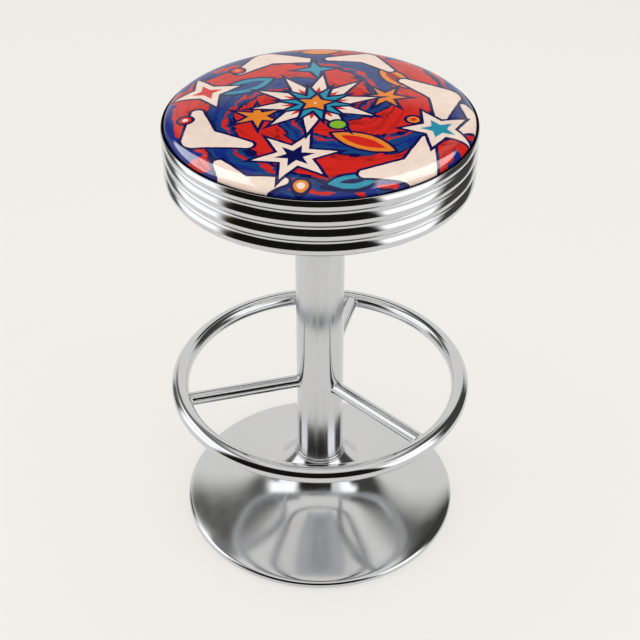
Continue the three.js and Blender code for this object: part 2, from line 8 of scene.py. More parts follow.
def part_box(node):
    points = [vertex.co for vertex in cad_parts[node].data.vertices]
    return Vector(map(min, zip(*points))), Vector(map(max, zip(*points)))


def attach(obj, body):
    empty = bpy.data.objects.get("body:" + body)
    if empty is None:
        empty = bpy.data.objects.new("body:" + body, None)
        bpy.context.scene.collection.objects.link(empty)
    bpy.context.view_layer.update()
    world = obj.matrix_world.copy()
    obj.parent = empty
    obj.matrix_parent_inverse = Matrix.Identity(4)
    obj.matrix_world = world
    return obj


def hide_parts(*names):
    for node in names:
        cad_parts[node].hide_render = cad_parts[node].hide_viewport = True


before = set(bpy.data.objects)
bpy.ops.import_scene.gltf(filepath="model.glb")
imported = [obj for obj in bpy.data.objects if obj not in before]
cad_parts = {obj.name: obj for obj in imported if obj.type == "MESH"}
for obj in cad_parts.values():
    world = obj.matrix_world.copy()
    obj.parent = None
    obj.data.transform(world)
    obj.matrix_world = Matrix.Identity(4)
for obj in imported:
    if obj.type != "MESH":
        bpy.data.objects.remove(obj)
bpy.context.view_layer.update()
scene = bpy.context.scene
mm = 0.001

# Camera: it stands in front of the stool and looks down on it at the photograph's angle, with the
# stool's axis in the middle of the picture. The focal length is in pixels of the 640 pixel frame.
frame_pixels = 640
focal_pixels = 1251.6
sensor_width = 36.0
camera_distance = 1429.8 * mm
camera_height = 1400.4 * mm
camera_dip = math.radians(36.646)

camera_data = bpy.data.cameras.new("photo_camera")
camera_data.sensor_width = sensor_width
camera_data.lens = focal_pixels / frame_pixels * sensor_width
camera = bpy.data.objects.new("photo_camera", camera_data)
camera.location = (0.0, -camera_distance, camera_height)
camera.rotation_euler = (math.pi / 2 - camera_dip, 0.0, 0.0)
scene.collection.objects.link(camera)
scene.camera = camera
scene.view_settings.view_transform = "Standard"


# Studio floor: a wide pale sweep of card under the stool. Most of its paleness is its own, so that
# it runs into the sky behind it without an edge, and the rest takes the stool's shadow.
def linear(hex_colour):
    channels = [int(hex_colour[i:i + 2], 16) / 255 for i in (1, 3, 5)]
    curve = [c / 12.92 if c <= 0.04045 else ((c + 0.055) / 1.055) ** 2.4 for c in channels]
    return (*curve, 1.0)


def add_node(tree, kind, inputs=(), **settings):
    """One node with its settings; a kind that doesn't say Node is a shader node. Its inputs, in
    order or by name, take a value, a socket, or the first output that another node has in use."""
    made = tree.nodes.new(kind if "Node" in kind else "ShaderNode" + kind)
    for name, value in settings.items():
        setattr(made, name, value)
    for name, value in inputs.items() if isinstance(inputs, dict) else enumerate(inputs):
        if isinstance(value, bpy.types.Node):
            value = next(output for output in value.outputs if output.enabled)
        if isinstance(value, bpy.types.NodeSocket):
            tree.links.new(value, made.inputs[name])
        else:
            made.inputs[name].default_value = value
    return made


def new_material(name):
    """An empty material, its node tree, and the socket that gives each point's place in metres."""
    material = bpy.data.materials.new(name)
    material.use_nodes = True
    tree = material.node_tree
    tree.nodes.clear()
    return material, tree, add_node(tree, "TexCoord").outputs["Object"]


def object_from(name, mesh_data, material=None):
    made = bpy.data.objects.new(name, mesh_data)
    scene.collection.objects.link(made)
    if material:
        mesh_data.materials.append(material)
    return made


backdrop_colour = "#F4F1EC"
floor_half = 14.0
floor_own_glow = 0.72
fibres_per_mm = 0.9

floor_data = bpy.data.meshes.new("studio_floor")
corners = [(floor_half * x, floor_half * y, 0) for x, y in ((-1, -1), (1, -1), (1, 1), (-1, 1))]
floor_data.from_pydata(corners, [], [(0, 1, 2, 3)])
# Uncoated card: matt, with a fibre that only just breaks up its evenness
floor_card, tree, place = new_material("pale_matt_card")
ray = add_node(tree, "LightPath").outputs
direct = add_node(tree, "Math", [ray["Is Camera Ray"], ray["Is Glossy Ray"]], operation="MAXIMUM")
own = add_node(tree, "Math", [direct, floor_own_glow], operation="MULTIPLY")
fibre = add_node(tree, "TexNoise", {"Vector": place, "Scale": fibres_per_mm / mm, "Detail": 2.0})
tooth = add_node(tree, "Bump", {"Height": fibre, "Strength": 0.05, "Distance": 0.2 * mm})
lit = add_node(tree, "BsdfDiffuse", {"Color": linear("#EFECE7"), "Roughness": 0.4, "Normal": tooth})
glow = add_node(tree, "Emission", {"Color": linear(backdrop_colour), "Strength": 1.0})
add_node(tree, "OutputMaterial", [add_node(tree, "MixShader", [own, lit, glow])])
object_from("studio_floor", floor_data, floor_card)

# Studio sky: the backdrop's own pale colour where the camera, chrome and gloss look at it, and
# plain soft white daylight for everything that it lights.
daylight_strength = 0.72

world = bpy.data.worlds.new("studio_sky")
scene.world = world
world.use_nodes = True
tree = world.node_tree
tree.nodes.clear()
ray = add_node(tree, "LightPath").outputs
mirrored = add_node(tree, "Math", [ray["Is Camera Ray"], ray["Is Glossy Ray"]], operation="MAXIMUM")
direct = add_node(tree, "Math", [mirrored, ray["Is Transmission Ray"]], operation="MAXIMUM")
backdrop = add_node(tree, "Background", {"Color": linear(backdrop_colour), "Strength": 1.0})
daylight = add_node(tree, "Background", {"Color": linear("#FFFFFF"), "Strength": daylight_strength})
add_node(tree, "OutputWorld", [add_node(tree, "MixShader", [direct, daylight, backdrop])])


# Softboxes: one to each side and a large one overhead give the stool its light and soft shadow,
# and a weak one at the floor lights the seat's underside.
# Azimuth 0 is the camera's side of the stool, and the right hand is positive.
def softbox(name, azimuth, distance, height, side, power, aim_height):
    light = bpy.data.lights.new(name, "AREA")
    light.shape = "SQUARE"
    light.size = side
    light.energy = power
    made = bpy.data.objects.new(name, light)
    turn = math.radians(azimuth)
    made.location = (distance * math.sin(turn), -distance * math.cos(turn), height)
    made.rotation_euler = (Vector((0, 0, aim_height)) - made.location).to_track_quat("-Z", "Y").to_euler()
    made.visible_camera = False
    made.visible_glossy = False
    scene.collection.objects.link(made)
    return made


# Name, azimuth in degrees, distance, height and side in metres, watts, and the height it aims at
for lamp_values in (
        ("left_softbox", -80, 2.2, 1.5, 1.0, 8.0, 0.4), ("right_softbox", 60, 2.2, 1.5, 1.0, 8.0, 0.4),
        ("top_softbox", 0, 0.01, 2.6, 1.6, 14.0, 0.0), ("floor_softbox", 0, 0.01, 0.02, 0.9, 2.5, 1.0)):
    softbox(*lamp_values)

# Cards: chrome shows its room, so black, white and grey cards stand round the stool, as they do
# when chrome is photographed. Only mirror-like reflections see them, and their edges are soft.
card_steps = 32
# Name, azimuth and half width in degrees, foot and head in metres, colour, strength, distance, width
# of the soft sides in degrees, of the soft foot and head in metres, and degrees wider per metre up
cards = [
    ("white_card_left", -83, 27, 0.0, 0.66, "#FFFFFF", 1.5, 0.96, 12, 0.24, 0.12, 0),
    ("white_card_right", 54, 27, 0.0, 0.66, "#FFFFFF", 1.7, 0.97, 9, 0.24, 0.12, 0),
    ("high_card_left", -94, 35, 1.15, 2.55, "#FFFFFF", 1.6, 2.2, 14, 0.4, 0.4, 0),
    ("high_card_right", 76, 31, 1.15, 2.55, "#FFFFFF", 1.6, 2.2, 22, 0.4, 0.4, 0),
    ("brown_card_front", -52, 16, 0.0, 1.04, "#4A3B2E", 1.0, 0.93, 12, 0.03, 0.2, -14),
    ("black_card_front", -10, 50, 0.0, 1.11, "#1B1812", 1.0, 0.92, 9, 0.03, 0.18, -14),
    ("grey_card_left", -116, 15, 0.0, 0.8, "#666661", 1.0, 1.08, 9, 0.02, 0.3, 0),
    ("grey_card_right", 103, 27, 0.0, 0.95, "#4A4946", 1.0, 1.09, 12, 0.02, 0.3, 0),
    ("tall_card_left", -134, 19, 0.35, 2.5, "#65645F", 1.0, 1.10, 12, 0.5, 1.0, 8),
    ("tall_card_right", 115, 32, 0.38, 2.5, "#45443F", 1.0, 1.11, 14, 0.25, 1.1, 9),
    ("dull_card_left", -95, 44, 2.5, 4.7, "#8E8D8B", 1.0, 2.3, 18, 0.4, 1.2, 0),
    ("dull_card_right", 95, 44, 2.5, 4.7, "#8A8987", 1.0, 2.3, 18, 0.4, 1.2, 0),
    ("dark_card_back", 180, 34, 1.02, 1.62, "#34353A", 1.0, 0.82, 8, 0.07, 0.07, 0),
]

for (name, azimuth, half_width, foot, head, colour, strength, distance,
     soft_side, soft_foot, soft_head, growth) in cards:
    widest = half_width + abs(growth) * (head - foot) / 2
    turns = [math.radians(azimuth - widest + 2 * widest * i / card_steps) for i in range(card_steps + 1)]
    points = [(distance * math.sin(a), -distance * math.cos(a), z) for z in (foot, head) for a in turns]
    faces = [(i, i + 1, i + card_steps + 2, i + card_steps + 1) for i in range(card_steps)]
    card_data = bpy.data.meshes.new(name)
    card_data.from_pydata(points, [], faces)
    material, tree, place = new_material(name)
    facing = add_node(tree, "VectorRotate", {"Vector": place, "Angle": math.radians(90 - azimuth)},
                      rotation_type="Z_AXIS")
    spot = add_node(tree, "SeparateXYZ", [facing]).outputs
    turn = add_node(tree, "Math", [spot["Y"], spot["X"]], operation="ARCTAN2")
    aside = add_node(tree, "Math", [turn], operation="ABSOLUTE")
    above = add_node(tree, "Math", [spot["Z"], (foot + head) / 2], operation="SUBTRACT")
    across = add_node(tree, "Math", [above, -math.radians(growth), aside], operation="MULTIPLY_ADD")
    covered = 1.0
    for reading, edge, full in ((across, math.radians(half_width), math.radians(half_width - soft_side)),
                                (spot["Z"], foot, foot + soft_foot), (spot["Z"], head, head - soft_head)):
        inside = add_node(tree, "MapRange", [reading, edge, full], interpolation_type="SMOOTHSTEP")
        covered = add_node(tree, "Math", [covered, inside], operation="MULTIPLY")
    glow = add_node(tree, "Emission", {"Color": linear(colour), "Strength": strength})
    clear = add_node(tree, "BsdfTransparent")
    add_node(tree, "OutputMaterial", [add_node(tree, "MixShader", [covered, clear, glow])])
    card = object_from(name, card_data, material)
    for kind_of_ray in ("camera", "diffuse", "shadow", "transmission"):
        setattr(card, "visible_" + kind_of_ray, False)


# Trumpet base: one round of steel sheet, spun over a former and chrome plated. Its neck flares
# into a low skirt that steepens to a rolled rim, and the collar covers its upper edge.
def arc(centre_radius, centre_height, radius, from_degrees, to_degrees, steps):
    swept = to_degrees - from_degrees
    turns = [math.radians(from_degrees + swept * i / steps) for i in range(steps + 1)]
    return [(centre_radius + radius * math.cos(a), centre_height + radius * math.sin(a)) for a in turns]


def circle(radius, height, sides):
    turns = [2 * math.pi * i / sides for i in range(sides)]
    return [(radius * math.cos(a), radius * math.sin(a), height) for a in turns]


def down_slope(point, degrees, distance):
    """The place at a distance down and out from a point of a profile, along a slope."""
    turn = math.radians(degrees)
    return (point[0] + distance * math.cos(turn), point[1] - distance * math.sin(turn))


def sweep(start, start_degrees, start_reach, end, end_degrees, end_reach, steps):
    """A smooth stretch of a profile that leaves one point and meets the next at given slopes."""
    leaving = down_slope(start, start_degrees, start_reach)
    arriving = down_slope(end, end_degrees, -end_reach)
    points = (start, leaving, arriving, end)
    line = []
    for i in range(steps + 1):
        t = i / steps
        shares = ((1 - t) ** 3, 3 * t * (1 - t) ** 2, 3 * t * t * (1 - t), t ** 3)
        line.append(tuple(sum(share * p[axis] for share, p in zip(shares, points)) for axis in (0, 1)))
    return line


def sheet_outline(points, thickness):
    """The closed outline of a sheet whose outer face follows an open profile."""
    facing = []
    for (r0, z0), (r1, z1) in zip(points, points[1:]):
        length = math.hypot(r1 - r0, z1 - z0)
        facing.append(((z1 - z0) / length, (r0 - r1) / length))
    inner = []
    for i, (r, z) in enumerate(points):
        before, after = facing[max(i - 1, 0)], facing[min(i, len(facing) - 1)]
        nr, nz = before[0] + after[0], before[1] + after[1]
        size = math.hypot(nr, nz)
        reach = thickness / max((nr * before[0] + nz * before[1]) / size, 0.5)
        inner.append((r + nr / size * reach, z + nz / size * reach))
    return points + inner[::-1]


def finish_mesh(name, bm, material, crease_degrees=34):
    """The mesh as an object, with its faces outwards and shaded smooth but for its creases."""
    bmesh.ops.recalc_face_normals(bm, faces=bm.faces)
    for face in bm.faces:
        face.smooth = True
    for edge in bm.edges:
        edge.smooth = len(edge.link_faces) == 2 and edge.calc_face_angle() < math.radians(crease_degrees)
    mesh_data = bpy.data.meshes.new(name)
    bm.to_mesh(mesh_data)
    bm.free()
    return object_from(name, mesh_data, material)


def turned_mesh(profile, sides):
    """A solid turned about Z from (radius, height) points that close on themselves or on the axis."""
    bm = bmesh.new()
    rounds = []
    for radius, height in profile:
        if radius < 0.01 * mm:
            rounds.append([bm.verts.new((0, 0, height))] * sides)
        else:
            rounds.append([bm.verts.new(place) for place in circle(radius, height, sides)])
    if rounds[0][0] is not rounds[0][1]:
        rounds.append(rounds[0])
    for low, high in zip(rounds, rounds[1:]):
        for i in range(sides):
            ring = [low[i - 1], high[i - 1], high[i], low[i]]
            bm.faces.new([v for n, v in enumerate(ring) if v is not ring[n - 1]])
    return bm


def turned(name, profile, material, sides=192):
    return finish_mesh(name, turned_mesh(profile, sides), material)


def from_axis(tree, place):
    """The distance of a place from the stool's axis."""
    level = add_node(tree, "VectorMath", [place, (1, 1, 0)], operation="MULTIPLY")
    return add_node(tree, "VectorMath", [level], operation="LENGTH")


def chrome_plate(name, tint, roughness, haze_mm, grain_scale=(1, 1, 1), ripple=0.0,
                 buffed_from=None, smear=0.0):
    """Bright chrome over nickel on polished steel: a near mirror, a little blue, that the polishing
    mop leaves faintly hazed in patches and rippled, but for an edge that is buffed clear. A piece
    that is polished as it spins also smears what it mirrors, across the way that it turns."""
    material, tree, place = new_material(name)
    grain = add_node(tree, "Mapping", {"Vector": place, "Scale": grain_scale})
    haze = add_node(tree, "TexNoise", {
        "Vector": grain, "Scale": 1 / (haze_mm * mm), "Detail": 4.0, "Roughness": 0.6})
    spread = add_node(tree, "MapRange", {
        "Value": haze, "From Min": 0.3, "From Max": 0.7,
        "To Min": roughness * 0.8, "To Max": roughness * 1.25})
    if buffed_from:
        buffed = add_node(tree, "MapRange", {
            "Value": from_axis(tree, place), "From Min": buffed_from, "From Max": buffed_from + buff_fade,
            "To Min": 1.0, "To Max": buffed_haze})
        spread = add_node(tree, "Math", [spread, buffed], operation="MULTIPLY")
    waves = add_node(tree, "TexNoise", {"Vector": grain, "Scale": 1 / (2.2 * haze_mm * mm), "Detail": 1.0})
    bump = add_node(tree, "Bump", {"Height": waves, "Strength": ripple, "Distance": 0.3 * mm})
    metal = add_node(tree, "BsdfPrincipled", {
        "Base Color": linear(tint), "Metallic": 1.0, "Roughness": spread, "Normal": bump})
    if smear:
        metal.inputs["Anisotropic"].default_value = smear
        metal.inputs["Anisotropic Rotation"].default_value = 0.25
        round_axis = add_node(tree, "Tangent", direction_type="RADIAL", axis="Z")
        tree.links.new(round_axis.outputs["Tangent"], metal.inputs["Tangent"])
    add_node(tree, "OutputMaterial", [metal])
    return material


neck_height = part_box("base_bell")[1].z
base_low, base_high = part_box("base_rim")
neck_radius = 38.2 * mm
neck_slope, neck_reach = 54, 61 * mm
skirt_radius, skirt_height = 165 * mm, 23.4 * mm
skirt_slope, skirt_reach = 13, 85 * mm
rim_slope, rim_reach = 20, 12 * mm
rim_roll = 6 * mm
rim_lip = 3 * mm
base_sheet = 1.5 * mm
buff_fade, buffed_haze = 3 * mm, 0.35
flare_steps, apron_steps, roll_steps = 56, 16, 16

rim_centre = (base_high.x - rim_roll, base_low.z + rim_roll)
# Sheet that is spun and plated keeps broad shallow waves, and is the softest mirror on the stool
spun_chrome = chrome_plate("spun_bright_chrome", "#D1D3D7", 0.135, 26, ripple=0.05,
                           buffed_from=rim_centre[0] - rim_roll, smear=0.6)
roll = arc(*rim_centre, rim_roll, 90 - rim_slope, -90, roll_steps)
neck, skirt = (neck_radius, neck_height), (skirt_radius, skirt_height)
flare = sweep(neck, neck_slope, neck_reach, skirt, skirt_slope, skirt_reach, flare_steps)
apron = sweep(skirt, skirt_slope, rim_reach, roll[0], rim_slope, rim_reach, apron_steps)
base_line = flare + apron[1:] + roll[1:] + [(rim_centre[0] - rim_lip, base_low.z)]
base = turned("trumpet_base", sheet_outline(base_line, base_sheet), spun_chrome, sides=256)
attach(base, "frame")
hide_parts("base_bell", "base_rim")


# Floor ring: a moulded black rubber ring, hooked up behind the rim's lip. It keeps the plated rim
# off the floor and stops the stool from sliding.
def grained(name, colour, pale_colour, roughness, grain_mm, relief_mm, metallic=0.0, stretch=(1, 1, 1)):
    """A solid finish whose grain varies its colour, its shine and its relief. A real grain that is
    finer than a millimetre or so is drawn as coarse as it needs to show."""
    material, tree, place = new_material(name)
    laid = add_node(tree, "Mapping", {"Vector": place, "Scale": stretch})
    grain = add_node(tree, "TexNoise", {
        "Vector": laid, "Scale": 1 / (grain_mm * mm), "Detail": 5.0, "Roughness": 0.6})
    shades = add_node(tree, "ValToRGB", [grain])
    for stop, position, shade in zip(shades.color_ramp.elements, (0.35, 0.68), (colour, pale_colour)):
        stop.position = position
        stop.color = linear(shade)
    shine = add_node(tree, "MapRange", {
        "Value": grain, "From Min": 0.3, "From Max": 0.7,
        "To Min": roughness * 0.85, "To Max": min(roughness * 1.15, 1.0)})
    bump = add_node(tree, "Bump", {"Height": grain, "Strength": 0.6, "Distance": relief_mm * mm})
    surface = add_node(tree, "BsdfPrincipled", {
        "Base Color": shades, "Metallic": metallic, "Roughness": shine, "Normal": bump})
    add_node(tree, "OutputMaterial", [surface])
    return material


rubber_low, rubber_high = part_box("floor_ring")
seated_gap = 0.3 * mm
hook_width = 3 * mm
hook_outer = rim_centre[0] - rim_lip - seated_gap
foot_top = base_low.z - seated_gap
foot_edge = 0.6 * mm

# Rubber keeps the skin of its mould: near black and dull, with a faint grain
moulded_rubber = grained("moulded_black_rubber", "#141414", "#222221", 0.72, 1.4, 0.08)
rubber_line = [
    (hook_outer - hook_width, 0.0), (rubber_high.x - foot_edge, 0.0), (rubber_high.x, foot_edge),
    (rubber_high.x, foot_top), (hook_outer, foot_top), (hook_outer, rubber_high.z - foot_edge),
    (hook_outer - foot_edge, rubber_high.z), (hook_outer - hook_width, rubber_high.z)]
floor_ring = turned("rubber_floor_ring", rubber_line, moulded_rubber, sides=256)
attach(floor_ring, "frame")
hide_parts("floor_ring")

# Ballast plate: a round of grey iron, sand cast and dipped in black paint. It lies inside the
# trumpet with its edge against the sheet, and its boss takes the column's foot.
ballast_low, ballast_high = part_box("ballast_plate")
ballast_edge_height = 24.2 * mm
ballast_boss_radius = 34 * mm
tie_recess_radius = 15.3 * mm
tie_recess_top = ballast_low.z + 12 * mm
tie_bore_radius = 6.3 * mm
cast_edge = 1.2 * mm

# Thin paint doesn't hide the sand mould's pits, so the black has a low sheen in coarse specks
painted_iron = grained("black_painted_cast_iron", "#161617", "#2B2B2C", 0.58, 3.0, 0.35)
ballast_line = [
    (tie_recess_radius, ballast_low.z), (ballast_high.x - cast_edge, ballast_low.z),
    (ballast_high.x, ballast_low.z + cast_edge), (ballast_high.x, ballast_edge_height - cast_edge),
    (ballast_high.x - cast_edge, ballast_edge_height), (ballast_boss_radius, ballast_edge_height),
    (ballast_boss_radius, ballast_high.z), (tie_bore_radius, ballast_high.z),
    (tie_bore_radius, tie_recess_top), (tie_recess_radius, tie_recess_top)]
ballast = turned("cast_ballast_plate", ballast_line, painted_iron)
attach(ballast, "frame")
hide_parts("ballast_plate")


# Tie bolt and washer: zinc plated steel, blue passivated. The bolt goes up through the ballast's
# boss into the column's foot, and draws the whole base together.
def lofted(bm, loops):
    """A body skinned over loops of points, one after the other, and closed at both ends."""
    rounds = [[bm.verts.new(place) for place in loop] for loop in loops]
    for low, high in zip(rounds, rounds[1:]):
        for i in range(len(low)):
            bm.faces.new((low[i - 1], low[i], high[i], high[i - 1]))
    bm.faces.new(rounds[0][::-1])
    bm.faces.new(rounds[-1])


def hex_bolt_mesh(foot, tip, head_radius, head_height, shank_radius):
    """A hexagon bolt that points up, from its head's chamfered face at the foot to its tapered tip."""
    bm = bmesh.new()
    chamfer_in, chamfer_up, taper = 0.14 * head_radius, 0.09 * head_radius, 0.15 * shank_radius
    seat = foot + head_height
    root = seat - head_height / 2
    head = ((head_radius - chamfer_in, foot), (head_radius, foot + chamfer_up), (head_radius, seat))
    shank = ((shank_radius, root), (shank_radius, tip - taper), (shank_radius - taper, tip))
    for stations, sides in ((head, 6), (shank, 24)):
        lofted(bm, [circle(radius, height, sides) for radius, height in stations])
    return bm


bolt_low, bolt_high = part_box("tie_bolt")
tie_bolt_sizes = (10.5 * mm, 7.5 * mm, 6 * mm)
washer_low, washer_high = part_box("tie_washer")
washer_edge, washer_edge_height = 0.3 * mm, 0.4 * mm
hexagon_crease = 25

# The passivating bath leaves the plate a cool half bright grey, in faint clouds
blue_zinc = grained("blue_passivated_zinc", "#8E929C", "#B9BDC6", 0.34, 5.0, 0.03, metallic=1.0)
bm = hex_bolt_mesh(bolt_low.z, bolt_high.z, *tie_bolt_sizes)
tie_bolt = finish_mesh("tie_bolt_dressed", bm, blue_zinc, hexagon_crease)
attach(tie_bolt, "frame")
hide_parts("tie_bolt")

washer_line = [
    (tie_bore_radius, washer_low.z), (washer_high.x - washer_edge, washer_low.z),
    (washer_high.x, washer_low.z + washer_edge_height), (washer_high.x, washer_high.z),
    (tie_bore_radius, washer_high.z)]
tie_washer = turned("tie_washer_dressed", washer_line, blue_zinc, sides=64)
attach(tie_washer, "frame")
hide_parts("tie_washer")

# Column: a welded steel tube, polished as it spins and chrome plated, with a steel plug welded in
# its foot. The polish smears what the tube mirrors up and down, in faint upright streaks.
column_low, column_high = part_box("column_tube")
column_wall = 2 * mm
column_bore = column_high.x - column_wall

# Long polishing leaves a clear mirror that is drawn out along the tube
drawn_chrome = chrome_plate("long_polished_chrome", "#D1D3D6", 0.125, 4, grain_scale=(1.0, 1.0, 0.03),
                            ripple=0.06, smear=0.8)
column_line = [(column_bore, column_low.z), (column_high.x, column_low.z),
               (column_high.x, column_high.z), (column_bore, column_high.z)]
column = turned("column_tube_dressed", column_line, drawn_chrome, sides=160)
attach(column, "frame")
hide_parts("column_tube")


def refinish(material, *nodes):
    """A CAD node whose shape is right keeps it, and takes a better finish."""
    for name in nodes:
        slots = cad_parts[name].data.materials
        slots.clear()
        slots.append(material)


refinish(blue_zinc, "column_foot")

# Collar: a turned brass ring, chrome plated. Its rounded edge lies on the neck of the trumpet, and
# a narrow lip above it hugs the column, with a fine dark joint between the two.
collar_low, collar_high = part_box("column_collar")
collar_bore = 34.3 * mm
collar_spigot = collar_bore + 1.6 * mm
collar_edge_height = 3.4 * mm
collar_lip_radius = 36.5 * mm
collar_joint = collar_lip_radius - 0.5 * mm
joint_half = 0.2 * mm

# A turned or ground piece is buffed to the clearest mirror, with hardly any haze
bright_chrome = chrome_plate("bright_chrome", "#D2D4D8", 0.07, 18, ripple=0.03)
edge_roll = collar_edge_height / 2
edge_bottom = neck_height + seated_gap
joint_height = edge_bottom + collar_edge_height
lip_foot = joint_height + joint_half
lip_roll = (collar_high.z - lip_foot) / 2
lip_middle = collar_lip_radius - lip_roll - joint_half / 2
collar_line = [
    (collar_bore, collar_low.z), (collar_spigot, collar_low.z), (collar_spigot, edge_bottom),
    *arc(collar_high.x - edge_roll, edge_bottom + edge_roll, edge_roll, -90, 90, 12),
    (collar_joint, joint_height - joint_half), (collar_joint, lip_foot),
    *arc(lip_middle, lip_foot + lip_roll, lip_roll, -60, 90, 10), (collar_bore, collar_high.z)]
collar = turned("column_collar_dressed", collar_line, bright_chrome, sides=160)
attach(collar, "frame")
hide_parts("column_collar")

# Foot ring: a steel tube bent into a ring and butt welded, ground flush, polished and plated.
# A sitter's shoes rest on it.
ring_low, ring_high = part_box("foot_ring")
ring_height = (ring_low.z + ring_high.z) / 2
ring_tube_radius = 12.5 * mm
ring_radius = ring_high.x - ring_tube_radius

ring_line = arc(ring_radius, ring_height, ring_tube_radius, 0, 360, 48)[:-1]
foot_ring = turned("foot_ring_dressed", ring_line, bright_chrome, sides=288)
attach(foot_ring, "frame")
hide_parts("foot_ring")

# Spokes: three straight tubes, mitred to the column and to the ring and welded to both. A small
# fillet of weld, polished with the tube, runs round each end.
spoke_radius = 9.5 * mm
spoke_count = 3
first_spoke_degrees = 75
weld_leg = 3.2 * mm
weld_fullness = 0.62
weld_sink = 0.4 * mm
weld_steps = 7
spoke_sides = 56


def spoke_mesh():
    """A spoke along X, whose ends follow the column and the inner side of the ring's tube."""
    bm = bmesh.new()
    leg = [weld_leg * i / weld_steps for i in range(weld_steps + 1)]
    loops = []
    for end, along in [("column", along) for along in leg] + [("ring", along) for along in reversed(leg)]:
        swelled = weld_leg * (1 - math.sqrt(1 - (1 - along / weld_leg) ** 2)) * weld_fullness
        loop = []
        for y, z, _ in circle(spoke_radius + swelled, 0, spoke_sides):
            if end == "column":
                x = math.sqrt(column_high.x ** 2 - y * y) - weld_sink + along
            else:
                inner = ring_radius - math.sqrt(ring_tube_radius ** 2 - z * z)
                x = math.sqrt(inner ** 2 - y * y) + weld_sink - along
            loop.append((x, y, z))
        loops.append(loop)
    lofted(bm, loops)
    return bm


for number in range(spoke_count):
    turn = math.radians(first_spoke_degrees + number * 360 / spoke_count)
    bm = spoke_mesh()
    to_place = Matrix.Translation((0, 0, ring_height)) @ Matrix.Rotation(turn, 4, "Z")
    bmesh.ops.transform(bm, verts=bm.verts, matrix=to_place)
    spoke = finish_mesh(f"spoke_{number + 1}_dressed", bm, bright_chrome)
    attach(spoke, "frame")
    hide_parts(f"spoke_{number + 1}")

# Swivel hub: a turned steel flange and sleeve, welded on the column's head. It holds the bronze
# bush that guides the spindle, and the lower race lies on it.
hub_low, hub_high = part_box("swivel_hub")
hub_bore, hub_spigot, hub_plug = 14.4 * mm, 16.9 * mm, 31.7 * mm
hub_plug_bore = hub_plug - 4 * mm
hub_plug_bottom = column_high.z - 19.7 * mm
hub_seat = column_high.z + seated_gap
hub_flange_top = hub_seat + 5 * mm
hub_edge = 0.4 * mm

# Grinding leaves steel bright and smooth, and turning leaves bronze warm and a little duller, both
# with fine lines that run round the piece
ground_steel = grained("ground_bearing_steel", "#A3A6AB", "#B9BCC0", 0.2, 2.0, 0.01, metallic=1.0,
                       stretch=(1, 1, 8))
turned_bronze = grained("turned_bearing_bronze", "#A67C3E", "#C49A58", 0.32, 2.4, 0.02, metallic=1.0,
                        stretch=(1, 1, 6))
hub_line = [
    (hub_bore, hub_low.z), (hub_spigot, hub_low.z), (hub_spigot, hub_seat),
    (hub_plug_bore, hub_seat), (hub_plug_bore, hub_plug_bottom), (hub_plug, hub_plug_bottom),
    (hub_plug, hub_seat), (hub_high.x - hub_edge, hub_seat), (hub_high.x, hub_seat + hub_edge),
    (hub_high.x, hub_flange_top - hub_edge), (hub_high.x - hub_edge, hub_flange_top),
    (hub_spigot, hub_flange_top), (hub_spigot, hub_high.z), (hub_bore, hub_high.z)]
hub = turned("swivel_hub_dressed", hub_line, blue_zinc, sides=128)
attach(hub, "frame")
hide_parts("swivel_hub")
refinish(turned_bronze, "spindle_bush")
refinish(ground_steel, "lower_race", "spindle")
refinish(blue_zinc, "spindle_washer", "spindle_nut")


# Bearing balls: twelve ground steel balls in a bronze cage, which roll between the two races at
# half the seat's turn. Geometry Nodes set one ball round the ring.
def grouped_tree(name, kind, inputs, results):
    """An empty tree of nodes with named inputs and results, and its inputs' sockets."""
    tree = bpy.data.node_groups.new(name, kind)
    for in_out, sockets in (("INPUT", inputs), ("OUTPUT", results)):
        for socket_name, socket_kind in sockets.items():
            tree.interface.new_socket(socket_name, in_out=in_out, socket_type="NodeSocket" + socket_kind)
    return tree, add_node(tree, "NodeGroupInput").outputs


def round_the_axis():
    """A tree that sets its geometry round the Z axis, each copy turned to face out."""
    tree, given = grouped_tree("round_the_axis", "GeometryNodeTree", {
        "Geometry": "Geometry", "Count": "Int", "Radius": "Float", "First Turn": "Float",
        "Unevenness": "Float", "Material": "Material"}, {"Geometry": "Geometry"})
    places = add_node(tree, "GeometryNodeMeshCircle", {"Vertices": given["Count"], "Radius": given["Radius"]})
    spot = add_node(tree, "SeparateXYZ", [add_node(tree, "GeometryNodeInputPosition")]).outputs
    facing = add_node(tree, "Math", [spot["Y"], spot["X"]], operation="ARCTAN2")
    least = add_node(tree, "Math", [given["Unevenness"], -1.0], operation="MULTIPLY")
    stray = add_node(tree, "FunctionNodeRandomValue", {2: least, 3: given["Unevenness"], "Seed": 7},
                     data_type="FLOAT")
    turn = add_node(tree, "Math", [facing, stray], operation="ADD")
    copies = add_node(tree, "GeometryNodeInstanceOnPoints", {
        "Points": places, "Instance": given["Geometry"],
        "Rotation": add_node(tree, "CombineXYZ", {"Z": turn})})
    real = add_node(tree, "GeometryNodeRealizeInstances", [copies])
    start = add_node(tree, "CombineXYZ", {"Z": given["First Turn"]})
    turned_round = add_node(tree, "GeometryNodeTransform", {"Geometry": real, "Rotation": start})
    finished = add_node(tree, "GeometryNodeSetMaterial", {
        "Geometry": turned_round, "Material": given["Material"]})
    add_node(tree, "NodeGroupOutput", [finished])
    return tree


def grown(template, tree, settings):
    """The tree's result on a template, as a plain mesh in the template's place."""
    modifier = template.modifiers.new(tree.name, "NODES")
    modifier.node_group = tree
    for item in tree.interface.items_tree:
        if item.in_out == "INPUT" and item.name in settings:
            modifier[item.identifier] = settings[item.name]
    seen_by = bpy.context.evaluated_depsgraph_get()
    result = bpy.data.meshes.new_from_object(template.evaluated_get(seen_by), depsgraph=seen_by)
    result.name = template.name
    template.modifiers.remove(modifier)
    template.data = result
    return template


